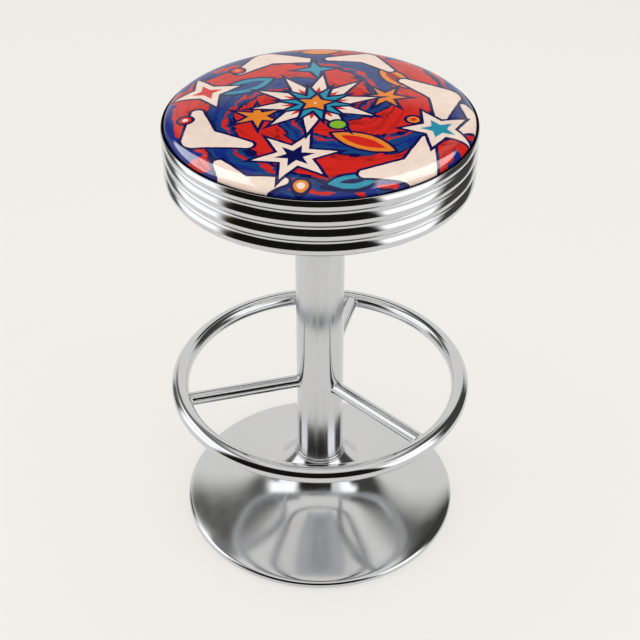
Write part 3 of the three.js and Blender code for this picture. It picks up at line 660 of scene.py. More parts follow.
ball_low, ball_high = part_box("ball_1")
ball_height = (ball_low.z + ball_high.z) / 2
ball_count = 12
ball_radius = 4 * mm
ball_pitch_radius = 23.5 * mm
spread_round = round_the_axis()

bm = bmesh.new()
bmesh.ops.create_uvsphere(bm, u_segments=24, v_segments=14, radius=ball_radius)
bmesh.ops.translate(bm, verts=bm.verts, vec=(0, 0, ball_height))
bearing_balls = grown(finish_mesh("bearing_balls", bm, ground_steel), spread_round, {
    "Count": ball_count, "Radius": ball_pitch_radius, "First Turn": 0.0, "Material": ground_steel})
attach(bearing_balls, "bearing")
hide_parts(*[f"ball_{i + 1}" for i in range(ball_count)])
refinish(turned_bronze, "ball_cage")

# Upper race: a pressed and ground steel cap under the seat plate. Its skirt hangs round the balls
# and keeps crumbs out of the grease.
race_low, race_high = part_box("upper_race")
race_bore = 11.8 * mm
race_groove_radius = 4.3 * mm
race_face = race_high.z - 5.5 * mm
skirt_edge = 0.6 * mm
skirt_inner = race_high.x - 2.5 * mm

groove_half = math.degrees(math.acos((race_face - ball_height) / race_groove_radius))
race_line = [
    (race_bore, race_high.z), (race_high.x - skirt_edge, race_high.z),
    (race_high.x, race_high.z - skirt_edge), (race_high.x, race_low.z + skirt_edge),
    (race_high.x - skirt_edge, race_low.z), (skirt_inner, race_low.z), (skirt_inner, race_face),
    *arc(ball_pitch_radius, ball_height, race_groove_radius, 90 - groove_half, 90 + groove_half, 12),
    (race_bore, race_face)]
upper_race = turned("upper_race_dressed", race_line, ground_steel, sides=128)
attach(upper_race, "seat")
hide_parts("upper_race")

# Seat plate: flame cut steel with rounded corners, bolted under the board, with the spindle welded
# through its middle. Its zinc was dipped and left dull, so it looks a pale, even grey.
plate_low, plate_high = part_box("seat_plate")
plate_corner = 22 * mm
plate_bevel = 0.7 * mm
corner_steps = 14

straight = plate_high.x - plate_corner
outline = [(sx * straight + x, sy * straight + y)
           for sx, sy, start in ((1, 1, 0), (-1, 1, 90), (-1, -1, 180), (1, -1, 270))
           for x, y in arc(0, 0, plate_corner, start, start + 90, corner_steps)]
levels = ((plate_low.z, plate_bevel), (plate_low.z + plate_bevel, 0.0),
          (plate_high.z - plate_bevel, 0.0), (plate_high.z, plate_bevel))
loops = []
for height, drawn_in in levels:
    shrink = 1 - drawn_in / plate_high.x
    loops.append([(x * shrink, y * shrink, height) for x, y in outline])
bm = bmesh.new()
lofted(bm, loops)
# Dull zinc is pale and even, and only half mirrors
dull_zinc = grained("dull_pale_zinc", "#C2C4C9", "#D2D4D8", 0.46, 6.0, 0.05, metallic=0.3)
seat_plate = finish_mesh("seat_plate_dressed", bm, dull_zinc)
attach(seat_plate, "seat")
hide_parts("seat_plate")

# Plate bolts: four hexagon bolts that hold the plate to tee nuts driven into the board's top.
# Geometry Nodes set one bolt at the plate's four corners.
plate_bolt_low, plate_bolt_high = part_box("plate_bolt_1")
plate_bolt_count = 4
plate_bolt_spacing = 150 * mm
plate_bolt_sizes = (7.2 * mm, 5.3 * mm, 4 * mm)

bm = hex_bolt_mesh(plate_bolt_low.z, plate_bolt_high.z, *plate_bolt_sizes)
plate_bolts = grown(finish_mesh("plate_bolts_dressed", bm, blue_zinc, hexagon_crease), spread_round, {
    "Count": plate_bolt_count, "Radius": plate_bolt_spacing / math.sqrt(2), "First Turn": math.radians(45),
    "Material": blue_zinc})
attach(plate_bolts, "seat")
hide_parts(*[f"plate_bolt_{i + 1}" for i in range(plate_bolt_count)])
refinish(blue_zinc, *[f"tee_nut_{i + 1}" for i in range(plate_bolt_count)])

# Seat board and foam: a disc of birch plywood, sealed with thin white paint that lets the grain
# show as long faint figure, and a pad of matt cream foam glued on it under the cover.
sealed_birch = grained("white_sealed_birch_ply", "#EDEBE7", "#F7F6F4", 0.55, 9.0, 0.12,
                       stretch=(0.12, 1.6, 1.6))
cream_foam = grained("cream_seat_foam", "#DCCB97", "#EBDDB2", 0.9, 1.5, 0.3)
refinish(sealed_birch, "seat_board")
refinish(cream_foam, "seat_foam")


# Seat cover: printed vinyl with a high gloss, pulled over the foam, down the board's edge and
# under it, where it is stapled. The crown swells and the shoulder is drawn tight into the band.
def motif_group(name, sizes, steps):
    """A shader group that gives the distance to a printed shape's edge, from its own named sizes.
    Each step of its sum has a name, an operation, and terms that are numbers or earlier names."""
    tree, given = grouped_tree(name, "ShaderNodeTree", {
        "Vector": "Vector", "Place": "Vector", "Turn": "Float", "Size": "Float",
        **{size: "Float" for size in sizes}}, {"Distance": "Float"})
    away = add_node(tree, "VectorMath", [given["Vector"], given["Place"]], operation="SUBTRACT")
    local = add_node(tree, "VectorRotate", {"Vector": away, "Angle": given["Turn"]},
                     rotation_type="Z_AXIS", invert=True)
    spot = add_node(tree, "SeparateXYZ", [local]).outputs
    known = {**dict(given.items()), "x": spot["X"], "y": spot["Y"]}
    for step, operation, *terms in steps:
        known[step] = add_node(tree, "Math", [known.get(term, term) for term in terms], operation=operation)
    add_node(tree, "NodeGroupOutput", {"Distance": known["apart"]})
    return tree


shapes = {
    # A star whose straight sides run from each point to the waist between two points
    "starburst": motif_group("starburst", ("Points", "Waist"), (
        ("x_square", "MULTIPLY", "x", "x"), ("square", "MULTIPLY_ADD", "y", "y", "x_square"),
        ("reach", "SQRT", "square"), ("angle", "ARCTAN2", "y", "x"),
        ("sector", "DIVIDE", 2 * math.pi, "Points"), ("half", "MULTIPLY", "sector", 0.5),
        ("fold", "PINGPONG", "angle", "half"),
        ("fold_cosine", "COSINE", "fold"), ("point_x", "MULTIPLY", "reach", "fold_cosine"),
        ("fold_sine", "SINE", "fold"), ("point_y", "MULTIPLY", "reach", "fold_sine"),
        ("waist", "MULTIPLY", "Size", "Waist"),
        ("half_cosine", "COSINE", "half"), ("waist_x", "MULTIPLY", "waist", "half_cosine"),
        ("half_sine", "SINE", "half"), ("waist_y", "MULTIPLY", "waist", "half_sine"),
        ("run", "SUBTRACT", "Size", "waist_x"), ("beyond", "SUBTRACT", "point_x", "Size"),
        ("first", "MULTIPLY", "beyond", "waist_y"), ("cross", "MULTIPLY_ADD", "point_y", "run", "first"),
        ("run_square", "MULTIPLY", "run", "run"),
        ("side_square", "MULTIPLY_ADD", "waist_y", "waist_y", "run_square"),
        ("side", "SQRT", "side_square"), ("apart", "DIVIDE", "cross", "side"))),
    # Two arms that taper from the elbow; the arms' droop and girth are shares of the size
    "boomerang": motif_group("boomerang", ("Droop", "Girth"), (
        ("wide", "ABSOLUTE", "x"), ("drop", "MULTIPLY", "Size", "Droop"),
        ("rise", "MULTIPLY_ADD", "drop", -0.5, "y"),
        ("out", "MULTIPLY", "wide", "Size"), ("down", "MULTIPLY", "rise", "drop"),
        ("along", "SUBTRACT", "out", "down"), ("drop_square", "MULTIPLY", "drop", "drop"),
        ("arm_square", "MULTIPLY_ADD", "Size", "Size", "drop_square"),
        ("run", "DIVIDE", "along", "arm_square"), ("past_elbow", "MAXIMUM", "run", 0.0),
        ("share", "MINIMUM", "past_elbow", 1.0), ("near_x", "MULTIPLY", "share", "Size"),
        ("off_x", "SUBTRACT", "wide", "near_x"), ("off_y", "MULTIPLY_ADD", "share", "drop", "rise"),
        ("off_square", "MULTIPLY", "off_x", "off_x"),
        ("gap_square", "MULTIPLY_ADD", "off_y", "off_y", "off_square"), ("gap", "SQRT", "gap_square"),
        ("taper", "MULTIPLY_ADD", "share", -0.66, 1.0), ("girth", "MULTIPLY", "taper", "Girth"),
        ("thick", "MULTIPLY", "girth", "Size"), ("apart", "SUBTRACT", "gap", "thick"))),
    # A leaf with two pointed ends, where two discs overlap; the bulge is a share of the size
    "lens": motif_group("lens", ("Bulge",), (
        ("tall", "ABSOLUTE", "y"), ("bulge_square", "MULTIPLY", "Bulge", "Bulge"),
        ("rest", "SUBTRACT", 1.0, "bulge_square"), ("double", "MULTIPLY", "Bulge", 2.0),
        ("offset_share", "DIVIDE", "rest", "double"), ("offset", "MULTIPLY", "offset_share", "Size"),
        ("depth", "MULTIPLY_ADD", "Bulge", "Size", "offset"), ("off", "ADD", "tall", "offset"),
        ("x_square", "MULTIPLY", "x", "x"), ("gap_square", "MULTIPLY_ADD", "off", "off", "x_square"),
        ("gap", "SQRT", "gap_square"), ("apart", "SUBTRACT", "gap", "depth"))),
    "disc": motif_group("disc", (), (
        ("x_square", "MULTIPLY", "x", "x"), ("square", "MULTIPLY_ADD", "y", "y", "x_square"),
        ("reach", "SQRT", "square"), ("apart", "SUBTRACT", "reach", "Size"))),
}

cover_low, cover_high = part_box("seat_cover")
band_low, band_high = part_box("seat_band")
print_red, print_dark_red = "#C9241C", "#981B1A"
# The last navy on the next line is not print: it is painted shade for the joint where the vinyl meets the
# band
print_blue, print_royal, print_navy, shade_navy = "#153E77", "#132578", "#0A0E49", "#0C0D22"
print_cream, print_teal, print_orange, print_green = "#E7D1C2", "#2789A1", "#DD7E25", "#7DAE2B"
# Shape, place in mm, turn in degrees, size in mm, the shape's own shares, its fill and its heart
motifs = [
    ("lens", -96, 58, 32, 40, [0.42], print_teal, print_blue),
    ("lens", 52, -92, -28, 42, [0.40], print_orange, print_red),
    ("lens", 98, 84, 118, 34, [0.42], print_orange, print_dark_red),
    ("lens", 38, -176, 12, 30, [0.38], print_teal, print_navy),
    ("lens", 0, 172, 4, 26, [0.36], print_orange, print_orange),
    ("boomerang", -134, -66, 128, 54, [0.62, 0.40], print_cream, print_cream),
    ("boomerang", 104, -134, 226, 56, [0.62, 0.40], print_cream, print_cream),
    ("boomerang", 146, 30, 292, 54, [0.60, 0.38], print_cream, print_cream),
    ("boomerang", -66, 134, 22, 50, [0.60, 0.38], print_cream, print_cream),
    ("boomerang", 58, 138, -24, 44, [0.58, 0.36], print_cream, print_cream),
    ("boomerang", -88, -168, 152, 44, [0.66, 0.42], print_cream, print_cream),
    ("boomerang", 190, -22, 262, 34, [0.66, 0.44], print_cream, print_cream),
    ("starburst", -30, -124, 10, 52, [6, 0.42], print_cream, print_navy),
    ("starburst", -146, 44, 20, 44, [4, 0.40], print_cream, print_red),
    ("starburst", 146, -54, 40, 46, [5, 0.44], print_cream, print_teal),
    ("starburst", -6, 108, 8, 26, [4, 0.32], print_teal, print_cream),
    ("starburst", 84, 26, 0, 28, [6, 0.36], print_orange, print_cream),
    ("starburst", -78, -28, 33, 30, [6, 0.36], print_orange, print_cream),
    ("starburst", -6, 8, 11, 80, [10, 0.46], print_cream, print_red),
    ("starburst", -6, 8, 29, 44, [10, 0.46], print_teal, print_blue),
    ("starburst", -6, 8, 11, 22, [5, 0.50], print_orange, print_cream),
    ("disc", 22, -50, 0, 10, [], print_green, print_green),
    ("disc", 116, -34, 0, 8, [], print_orange, print_red),
    ("disc", -110, 108, 0, 8, [], print_red, print_orange),
    ("disc", -168, -30, 0, 8, [], print_red, print_cream),
    ("disc", -22, -184, 0, 9, [], print_orange, print_cream),
]
outline_width = 4.2 * mm
blue_margin, margin_stray = 236 * mm, 90 * mm
# The painted shade at the vinyl's joint with the band starts this far above the band's top and is full this
# far below it
shade_above, shade_below = 0.4 * mm, 0.6 * mm
heart_inset = {"starburst": 8.5 * mm, "boomerang": 99 * mm, "lens": 7.5 * mm, "disc": 4 * mm}
swirl_arms, swirl_bend, swirl_twist, swirl_start, swirl_raggedness = 3, 0.62, -7.2, 20.0, 0.34
swirl_stops = [
    (0.0, print_red), (0.44, print_dark_red), (0.47, print_red), (0.54, print_navy), (0.58, print_blue),
    (0.68, print_royal), (0.74, print_blue), (0.84, print_red), (0.90, print_blue), (0.95, print_navy)]


def unsteady(tree, place, wave, sway):
    """The place, moved across the print as by an unsteady hand, in waves of a given size."""
    drift = add_node(tree, "TexNoise", {"Vector": place, "Scale": 1 / wave, "Detail": 2.0})
    centred = add_node(tree, "VectorMath", [drift.outputs["Color"], (0.5,) * 3], operation="SUBTRACT")
    return add_node(tree, "VectorMath", [centred, (sway, sway, 0.0), place], operation="MULTIPLY_ADD")


def swirl_colours(tree, place):
    """Brushed arms of red and blue that wind out from the middle, with darker dabs of both."""
    moved = unsteady(tree, place, 46 * mm, 30 * mm)
    spot = add_node(tree, "SeparateXYZ", [moved]).outputs
    angle = add_node(tree, "Math", [spot["Y"], spot["X"]], operation="ARCTAN2")
    reach = from_axis(tree, moved)
    wound = add_node(tree, "Math", [reach, swirl_bend], operation="POWER")
    twist = add_node(tree, "Math", [wound, swirl_twist, swirl_start], operation="MULTIPLY_ADD")
    arms = add_node(tree, "Math", [angle, swirl_arms / (2 * math.pi), twist], operation="MULTIPLY_ADD")
    stroke = add_node(tree, "CombineXYZ", [arms, reach])
    brushed = add_node(tree, "Mapping", {"Vector": stroke, "Scale": (1.5, 60.0, 1.0)})
    bristles = add_node(tree, "TexNoise", {
        "Vector": brushed, "Scale": 1.4, "Detail": 3.0, "Roughness": 0.6})
    ragged = add_node(tree, "Math", [bristles, swirl_raggedness, arms], operation="MULTIPLY_ADD")
    shades = add_node(tree, "ValToRGB", [add_node(tree, "Math", [ragged], operation="FRACT")])
    ramp = shades.color_ramp
    ramp.interpolation = "CONSTANT"
    while len(ramp.elements) < len(swirl_stops):
        ramp.elements.new(1.0)
    for stop, (position, colour) in zip(ramp.elements, swirl_stops):
        stop.position = position
        stop.color = linear(colour)
    dabs = add_node(tree, "TexNoise", {"Vector": brushed, "Scale": 2.6, "Detail": 2.0, "Distortion": 0.6})
    depth = add_node(tree, "MapRange", {
        "Value": dabs, "From Min": 0.52, "From Max": 0.62, "To Min": 1.0, "To Max": 0.74},
        interpolation_type="SMOOTHSTEP")
    return add_node(tree, "Mix", {0: 1.0, 6: shades, 7: depth}, data_type="RGBA", blend_type="MULTIPLY")


def printed_vinyl():
    """Calendered vinyl, screen printed and clear coated: it throws back sharp gleams, which its
    grain breaks up a little. The grain is drawn at 0.9 mm, coarser than the real one, to show."""
    material, tree, place = new_material("printed_gloss_vinyl")
    hand = unsteady(tree, place, 9 * mm, 1.6 * mm)
    stray = add_node(tree, "TexNoise", {"Vector": place, "Scale": 1 / (34 * mm), "Detail": 1.0})
    strayed = add_node(tree, "Math", [stray, margin_stray, from_axis(tree, place)],
                       operation="MULTIPLY_ADD")
    margin = add_node(tree, "Math", [strayed, blue_margin], operation="GREATER_THAN")
    colour = add_node(tree, "Mix", {0: margin, 6: swirl_colours(tree, place), 7: linear(print_royal)},
                      data_type="RGBA")
    for shape, x, y, turn, size, shares, fill, heart in motifs:
        sizes = [hand, (x * mm, y * mm, 0), math.radians(turn), size * mm, *shares]
        apart = add_node(tree, "Group", sizes, node_tree=shapes[shape])
        for limit, ink in ((outline_width, print_navy), (0.0, fill), (-heart_inset[shape], heart)):
            inside = add_node(tree, "Math", [apart, limit], operation="LESS_THAN")
            colour = add_node(tree, "Mix", {0: inside, 6: colour, 7: linear(ink)}, data_type="RGBA")
    mottle = add_node(tree, "TexNoise", {"Vector": place, "Scale": 1 / (16 * mm), "Detail": 3.0})
    fade = add_node(tree, "MapRange", {
        "Value": mottle, "From Min": 0.3, "From Max": 0.7, "To Min": 0.94, "To Max": 1.04})
    vinyl_colour = add_node(tree, "Mix", {0: 1.0, 6: colour, 7: fade}, data_type="RGBA", blend_type="MULTIPLY")
    # Painted shade: below the band's top the vinyl turns near black navy, to stand in for the joint with the
    # band lying in shade
    height = add_node(tree, "SeparateXYZ", [place]).outputs["Z"]
    painted_shade_share = add_node(tree, "MapRange", {
        "Value": height, "From Min": band_high.z + shade_above, "From Max": band_high.z - shade_below},
        interpolation_type="SMOOTHSTEP")
    vinyl_colour = add_node(tree, "Mix", {0: painted_shade_share, 6: vinyl_colour, 7: linear(shade_navy)}, data_type="RGBA")
    grain = add_node(tree, "TexVoronoi", {"Vector": place, "Scale": 1 / (0.9 * mm)})
    bump = add_node(tree, "Bump", {"Height": grain, "Strength": 0.04, "Distance": 0.05 * mm})
    surface = add_node(tree, "BsdfPrincipled", {
        "Base Color": vinyl_colour, "Roughness": 0.08, "IOR": 1.38, "Normal": bump})
    add_node(tree, "OutputMaterial", [surface])
    return material


crown_height = 16.8 * mm
crown_fullness = 8
grid_reach = cover_high.x - 26 * mm
cover_sheet = 1.5 * mm
fold_roll = 1.6 * mm
turn_under = 26 * mm
pleat_count, pleat_depth, pleat_run = 72, 0.3 * mm, 8 * mm
pleat_start = cover_high.x - 18 * mm
swell_limit = 3 * mm
swell_frames = 20
rest_sink, sink_fullness = 1.6 * mm, 4
grid_cells = 36
shoulder_steps, side_steps, under_steps = 12, 5, 4
cover_crease = 75


def cover_height(radius):
    """The crown's height at rest, sunk a little, because the pressure under it raises it again."""
    along = radius / cover_high.x
    crown = crown_height * math.sqrt(1 - along ** crown_fullness)
    return band_high.z + crown - rest_sink * (1 - along ** sink_fullness)


def cover_mesh():
    """A round sheet of quads: a square grid bent to a disc, with rings down its side and under it."""
    bm = bmesh.new()
    half = grid_cells // 2
    grid = {}
    for i in range(-half, half + 1):
        for j in range(-half, half + 1):
            ring = max(abs(i), abs(j))
            if ring == 0:
                angle = 0.0
            elif abs(i) >= abs(j):
                angle = math.pi / 4 * j / i + (math.pi if i < 0 else 0.0)
            else:
                angle = math.pi / 2 - math.pi / 4 * i / j + (math.pi if j < 0 else 0.0)
            radius = grid_reach * ring / half
            x, y = radius * math.cos(angle), radius * math.sin(angle)
            grid[i, j] = bm.verts.new((x, y, cover_height(radius)))
    for i in range(-half, half):
        for j in range(-half, half):
            bm.faces.new((grid[i, j], grid[i + 1, j], grid[i + 1, j + 1], grid[i, j + 1]))
    steps = range(-half, half)
    border = ([grid[half, j] for j in steps] + [grid[-i, half] for i in steps]
              + [grid[-half, -j] for j in steps] + [grid[i, -half] for i in steps])
    first = math.asin((grid_reach / cover_high.x) ** (crown_fullness / 2))
    turns = [first + (math.pi / 2 - first) * (k + 1) / shoulder_steps for k in range(shoulder_steps)]
    shoulder = [cover_high.x * math.sin(a) ** (2 / crown_fullness) for a in turns]
    foot = cover_low.z + fold_roll
    under = cover_high.x - fold_roll
    drop = band_high.z - foot
    inward = turn_under - fold_roll
    down = [(radius, cover_height(min(radius, cover_high.x))) for radius in shoulder]
    down += [(cover_high.x, band_high.z - drop * k / side_steps) for k in range(1, side_steps + 1)]
    down += [(under - inward * k / under_steps, cover_low.z) for k in range(under_steps + 1)]
    above = border
    for radius, height in down:
        level = []
        for vert in border:
            angle = math.atan2(vert.co.y, vert.co.x)
            pleat = 0.0
            if height < foot and radius < pleat_start:
                pleat = pleat_depth * math.sin(pleat_count * angle) * (pleat_start - radius) / pleat_run
            x, y = radius * math.cos(angle), radius * math.sin(angle)
            level.append(bm.verts.new((x, y, height + abs(pleat))))
        for k in range(len(border)):
            bm.faces.new((above[k], above[k - 1], level[k - 1], level[k]))
        above = level
    return bm


def swell(cloth, limit):
    """Cloth pressure swells the crown for some frames, and no point moves further than the limit.
    The shoulder is held, as it is on the stool, where the staples below draw it down over the foam."""
    start = [vert.co.copy() for vert in cloth.data.vertices]
    held = cloth.vertex_groups.new(name="held")
    held.add([i for i, co in enumerate(start) if co.xy.length > grid_reach], 1.0, "REPLACE")
    modifier = cloth.modifiers.new("swell", "CLOTH")
    settings = modifier.settings
    for name, value in (("vertex_group_mass", "held"), ("quality", 6), ("mass", 0.4),
                        ("tension_stiffness", 40), ("compression_stiffness", 40), ("shear_stiffness", 20),
                        ("bending_stiffness", 4), ("use_pressure", True), ("uniform_pressure_force", 4)):
        setattr(settings, name, value)
    settings.effector_weights.gravity = 0
    for number in range(1, swell_frames + 1):
        scene.frame_set(number)
    seen_by = bpy.context.evaluated_depsgraph_get()
    moved = [vert.co.copy() for vert in cloth.evaluated_get(seen_by).data.vertices]
    cloth.modifiers.remove(modifier)
    cloth.vertex_groups.clear()
    for vert, before, after in zip(cloth.data.vertices, start, moved):
        step = after - before
        vert.co = before + step * min(1.0, limit / max(step.length, 1e-9))
    scene.frame_set(1)


gloss_print = printed_vinyl()
seat_cover = finish_mesh("seat_cover_dressed", cover_mesh(), gloss_print, cover_crease)
swell(seat_cover, swell_limit)
rounder = seat_cover.modifiers.new("rounder", "SUBSURF")
rounder.levels = rounder.render_levels = 1
sheet = seat_cover.modifiers.new("sheet", "SOLIDIFY")
sheet.thickness = cover_sheet
sheet.offset = -1.0
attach(seat_cover, "seat")
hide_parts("seat_cover")

# Gloss softboxes: two small lamps close to the seat, linked to the vinyl alone. They show only as
# the two soft gleams on its shoulder, and light nothing else.
gloss_distance, gloss_aim = 0.78, 0.66
watts_per_square_metre = 9 * math.pi

gloss_only = bpy.data.collections.new("gloss_only")
gloss_only.objects.link(seat_cover)
for name, azimuth, height, side in (
        ("left_gloss_softbox", -106, 1.4, 0.85), ("right_gloss_softbox", 104, 1.6, 0.9)):
    lamp = softbox(name, azimuth, gloss_distance, height, side, watts_per_square_metre * side ** 2, gloss_aim)
    lamp.visible_glossy = True
    lamp.visible_diffuse = False
    lamp.light_linking.receiver_collection = gloss_only

# Staples: fine galvanised wire, shot through the turned-under vinyl into the board all the way
# round. Geometry Nodes set them, each a little out of line.
staple_count = 54
staple_radius = cover_high.x - 22 * mm
staple_crown = 9 * mm
staple_wire = 0.8 * mm
staple_width, staple_rounding, staple_drop = staple_wire * 1.4, 0.28 * staple_wire, 0.2 * staple_wire
staple_start, staple_stray = 0.05, 0.16

# Hot zinc dries on wire as a mottled grey, half bright
galvanised_wire = grained("galvanised_wire", "#9A9C9C", "#C0C2C1", 0.36, 1.2, 0.02, metallic=1.0)
bm = bmesh.new()
bmesh.ops.create_cube(bm, size=1.0)
bmesh.ops.scale(bm, verts=bm.verts, vec=(staple_width, staple_crown, staple_wire))
bmesh.ops.bevel(bm, geom=list(bm.edges), offset=staple_rounding, segments=2, affect="EDGES")
bmesh.ops.translate(bm, verts=bm.verts, vec=(0, 0, cover_low.z - staple_drop))
staples = grown(finish_mesh("cover_staples", bm, galvanised_wire), spread_round, {
    "Count": staple_count, "Radius": staple_radius, "First Turn": staple_start,
    "Unevenness": staple_stray, "Material": galvanised_wire})
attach(staples, "seat")


# Seat band: a strip of steel sheet, rolled into four beads and chrome plated, which runs round the
# seat. Geometry Nodes draw it from its bead count, pitch and depth. The top bead is cut short
# beside the cover, the grooves are pinched sharp, and a flange turns in below.
def beaded_band():
    """A flat grid, bent round the axis and into beads. Each step of the sum for a point's place has
    a name, an operation, and terms that are numbers, inputs or earlier names."""
    tree, given = grouped_tree("beaded_band", "GeometryNodeTree", {
        "Geometry": "Geometry", "Crest Radius": "Float", "Top Height": "Float", "Top Cut": "Float",
        "Beads": "Int", "Pitch": "Float", "Depth": "Float", "Groove Reach": "Float", "Steps": "Int",
        "Flange": "Float", "Sides": "Int", "Material": "Material"}, {"Geometry": "Geometry"})
    spot = add_node(tree, "SeparateXYZ", [add_node(tree, "GeometryNodeInputPosition")]).outputs
    known = {**dict(given.items()), "x": spot["X"], "y": spot["Y"]}
    for step, operation, *terms in (
            # Which step down the strip a point is at, on which bead, and how far down that bead
            ("last_step", "MULTIPLY", "Beads", "Steps"), ("spans", "ADD", "last_step", 1.0),
            ("rows", "ADD", "last_step", 2.0), ("columns", "ADD", "Sides", 1.0),
            ("height_share", "ADD", "y", 0.5), ("exact_step", "MULTIPLY", "height_share", "spans"),
            ("step", "ROUND", "exact_step"), ("bead_step", "MINIMUM", "step", "last_step"),
            ("beads_down", "DIVIDE", "bead_step", "Steps"), ("whole_beads", "FLOOR", "beads_down"),
            ("last_bead", "SUBTRACT", "Beads", 1.0), ("bead", "MINIMUM", "whole_beads", "last_bead"),
            ("share", "SUBTRACT", "beads_down", "bead"), ("cut_share", "DIVIDE", "Top Cut", "Pitch"),
            ("top_bead", "LESS_THAN", "bead", 0.5), ("top_start", "MULTIPLY", "cut_share", "top_bead"),
            ("share_left", "SUBTRACT", 1.0, "share"),
            ("even", "MULTIPLY_ADD", "share_left", "top_start", "share"),
            # Points gather towards the grooves, where the bend is sharp
            ("half_turn", "MULTIPLY", "even", math.pi), ("swing", "COSINE", "half_turn"),
            ("gathered", "MULTIPLY_ADD", "swing", -0.5, 0.5), ("lower_bead", "GREATER_THAN", "bead", 0.5),
            ("past_crest", "GREATER_THAN", "even", 0.5), ("by_groove", "MAXIMUM", "lower_bead", "past_crest"),
            ("pull", "MULTIPLY", "by_groove", 0.6), ("shift", "SUBTRACT", "gathered", "even"),
            ("along", "MULTIPLY_ADD", "pull", "shift", "even"), ("fall_beads", "ADD", "bead", "along"),
            ("fall", "MULTIPLY", "fall_beads", "Pitch"), ("uncut_top", "ADD", "Top Height", "Top Cut"),
            ("level", "SUBTRACT", "uncut_top", "fall"),
            # A bead is an arc as deep as stated, and its two ends are pinched in to sharp grooves
            ("half", "MULTIPLY", "Pitch", 0.5), ("half_square", "MULTIPLY", "half", "half"),
            ("two_squares", "MULTIPLY_ADD", "Depth", "Depth", "half_square"),
            ("two_depths", "MULTIPLY", "Depth", 2.0), ("bow", "DIVIDE", "two_squares", "two_depths"),
            ("off_share", "SUBTRACT", "along", 0.5), ("off", "MULTIPLY", "off_share", "Pitch"),
            ("off_square", "MULTIPLY", "off", "off"), ("bow_square", "MULTIPLY", "bow", "bow"),
            ("chord_square", "SUBTRACT", "bow_square", "off_square"), ("chord", "SQRT", "chord_square"),
            ("sunk", "SUBTRACT", "bow", "chord"), ("flat_bow", "SUBTRACT", "bow", "Depth"),
            ("steepness", "DIVIDE", "half", "flat_bow"), ("off_size", "ABSOLUTE", "off"),
            ("to_groove", "SUBTRACT", "half", "off_size"),
            ("into_pinch", "SUBTRACT", "Groove Reach", "to_groove"), ("near", "MAXIMUM", "into_pinch", 0.0),
            ("near_square", "MULTIPLY", "near", "near"), ("pinch", "MULTIPLY", "near_square", "steepness"),
            ("two_reaches", "MULTIPLY", "Groove Reach", 2.0), ("pinched", "DIVIDE", "pinch", "two_reaches"),
            ("drawn_in", "ADD", "sunk", "pinched"), ("face", "SUBTRACT", "Crest Radius", "drawn_in"),
            ("on_flange", "GREATER_THAN", "step", "bead_step"), ("inward", "MULTIPLY", "on_flange", "Flange"),
            ("radius", "SUBTRACT", "face", "inward"),
            # The strip's length goes once round the axis
            ("turn", "MULTIPLY", "x", 2 * math.pi), ("cosine", "COSINE", "turn"), ("sine", "SINE", "turn"),
            ("to_x", "MULTIPLY", "radius", "cosine"), ("to_y", "MULTIPLY", "radius", "sine")):
        known[step] = add_node(tree, "Math", [known.get(term, term) for term in terms], operation=operation)
    strip = add_node(tree, "GeometryNodeMeshGrid", {
        "Size X": 1.0, "Size Y": 1.0, "Vertices X": known["columns"], "Vertices Y": known["rows"]})
    place = add_node(tree, "CombineXYZ", [known["to_x"], known["to_y"], known["level"]])
    bent = add_node(tree, "GeometryNodeSetPosition", {"Geometry": strip, "Position": place})
    closed = add_node(tree, "GeometryNodeMergeByDistance", {"Geometry": bent, "Distance": 0.01 * mm})
    real = add_node(tree, "GeometryNodeRealizeInstances", [closed])
    finished = add_node(tree, "GeometryNodeSetMaterial", {"Geometry": real, "Material": given["Material"]})
    add_node(tree, "NodeGroupOutput", [finished])
    return tree


bead_pitch = 20.3 * mm
bead_count = 4
bead_depth = 3.2 * mm
bead_steps = 18
groove_reach = 2.0 * mm
band_sheet = 0.7 * mm
band_edge = 0.3 * mm
band_flange = 17 * mm
band_sides = 256
groove_crease, bevel_crease = 40, 50

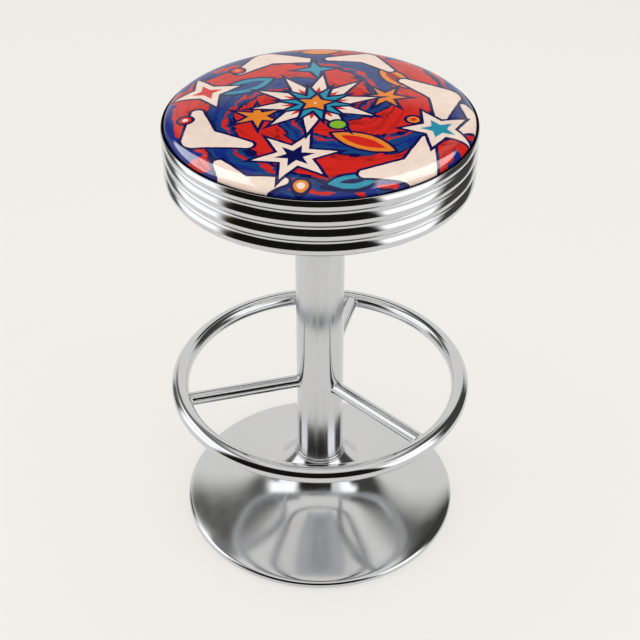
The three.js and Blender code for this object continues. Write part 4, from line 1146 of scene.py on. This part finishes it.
# The rollers leave faint lines round the strip, so its mirror is a trace softer than a turned one
band_chrome = chrome_plate("rolled_bright_chrome", "#D2D4D7", 0.075, 14, grain_scale=(1.0, 1.0, 3.0),
                           ripple=0.02)
band = grown(object_from("seat_band_dressed", bpy.data.meshes.new("seat_band_blank")), beaded_band(), {
    "Crest Radius": band_high.x, "Top Height": band_high.z, "Beads": bead_count, "Pitch": bead_pitch,
    "Top Cut": bead_count * bead_pitch - (band_high.z - band_low.z), "Depth": bead_depth,
    "Groove Reach": groove_reach, "Steps": bead_steps, "Flange": band_flange, "Sides": band_sides,
    "Material": band_chrome})
bm = bmesh.new()
bm.from_mesh(band.data)
bmesh.ops.recalc_face_normals(bm, faces=bm.faces)
if sum(face.normal.xy.dot(face.calc_center_median().xy) for face in bm.faces) < 0:
    bmesh.ops.reverse_faces(bm, faces=bm.faces)
for face in bm.faces:
    face.smooth = True
for edge in bm.edges:
    edge.smooth = edge.is_boundary or edge.calc_face_angle() < math.radians(groove_crease)
bm.to_mesh(band.data)
bm.free()
thickness = band.modifiers.new("sheet", "SOLIDIFY")
thickness.thickness = band_sheet
thickness.offset = -1.0
thickness.use_even_offset = True
edges = band.modifiers.new("rolled_edges", "BEVEL")
edges.limit_method = "ANGLE"
edges.angle_limit = math.radians(bevel_crease)
edges.width = band_edge
edges.segments = 2
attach(band, "seat")
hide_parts("seat_band")

# Band screws: six pan head screws with cross recesses, which hold the band's flange and the vinyl
# to the board. Geometry Nodes set one screw round the flange.
screw_low, screw_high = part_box("band_screw_1")
screw_count = 6
screw_circle = band_high.x - bead_depth - band_flange / 2
screw_head_radius, screw_head_height, screw_radius = 3.8 * mm, 1.9 * mm, 1.8 * mm
screw_seat = screw_low.z + screw_head_height
screw_point = 2 * mm
recess_half_width, recess_reach, recess_depth = 0.45 * mm, 2.1 * mm, 1.1 * mm
dome_height, recess_limit = 0.8 * screw_head_height, 0.6 * screw_head_height
dome_steps = 12
screw_stray = 0.7

turns = [math.pi / 2 * i / dome_steps for i in range(dome_steps + 1)]
dome = [(screw_head_radius * math.sin(a), screw_low.z + dome_height * (1 - math.cos(a))) for a in turns]
screw_line = dome + [(screw_head_radius, screw_seat), (screw_radius, screw_seat),
                     (screw_radius, screw_high.z - screw_point), (0.0, screw_high.z)]
bm = turned_mesh(screw_line, 32)
for vert in bm.verts:
    narrow, wide = sorted((abs(vert.co.x), abs(vert.co.y)))
    on_face = vert.co.z < screw_low.z + recess_limit
    if on_face and narrow < recess_half_width and wide < recess_reach:
        vert.co.z = screw_low.z + recess_depth
band_screws = grown(finish_mesh("band_screws_dressed", bm, blue_zinc), spread_round, {
    "Count": screw_count, "Radius": screw_circle, "First Turn": math.radians(180 / screw_count),
    "Unevenness": screw_stray, "Material": blue_zinc})
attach(band_screws, "seat")
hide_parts(*[f"band_screw_{i + 1}" for i in range(screw_count)])
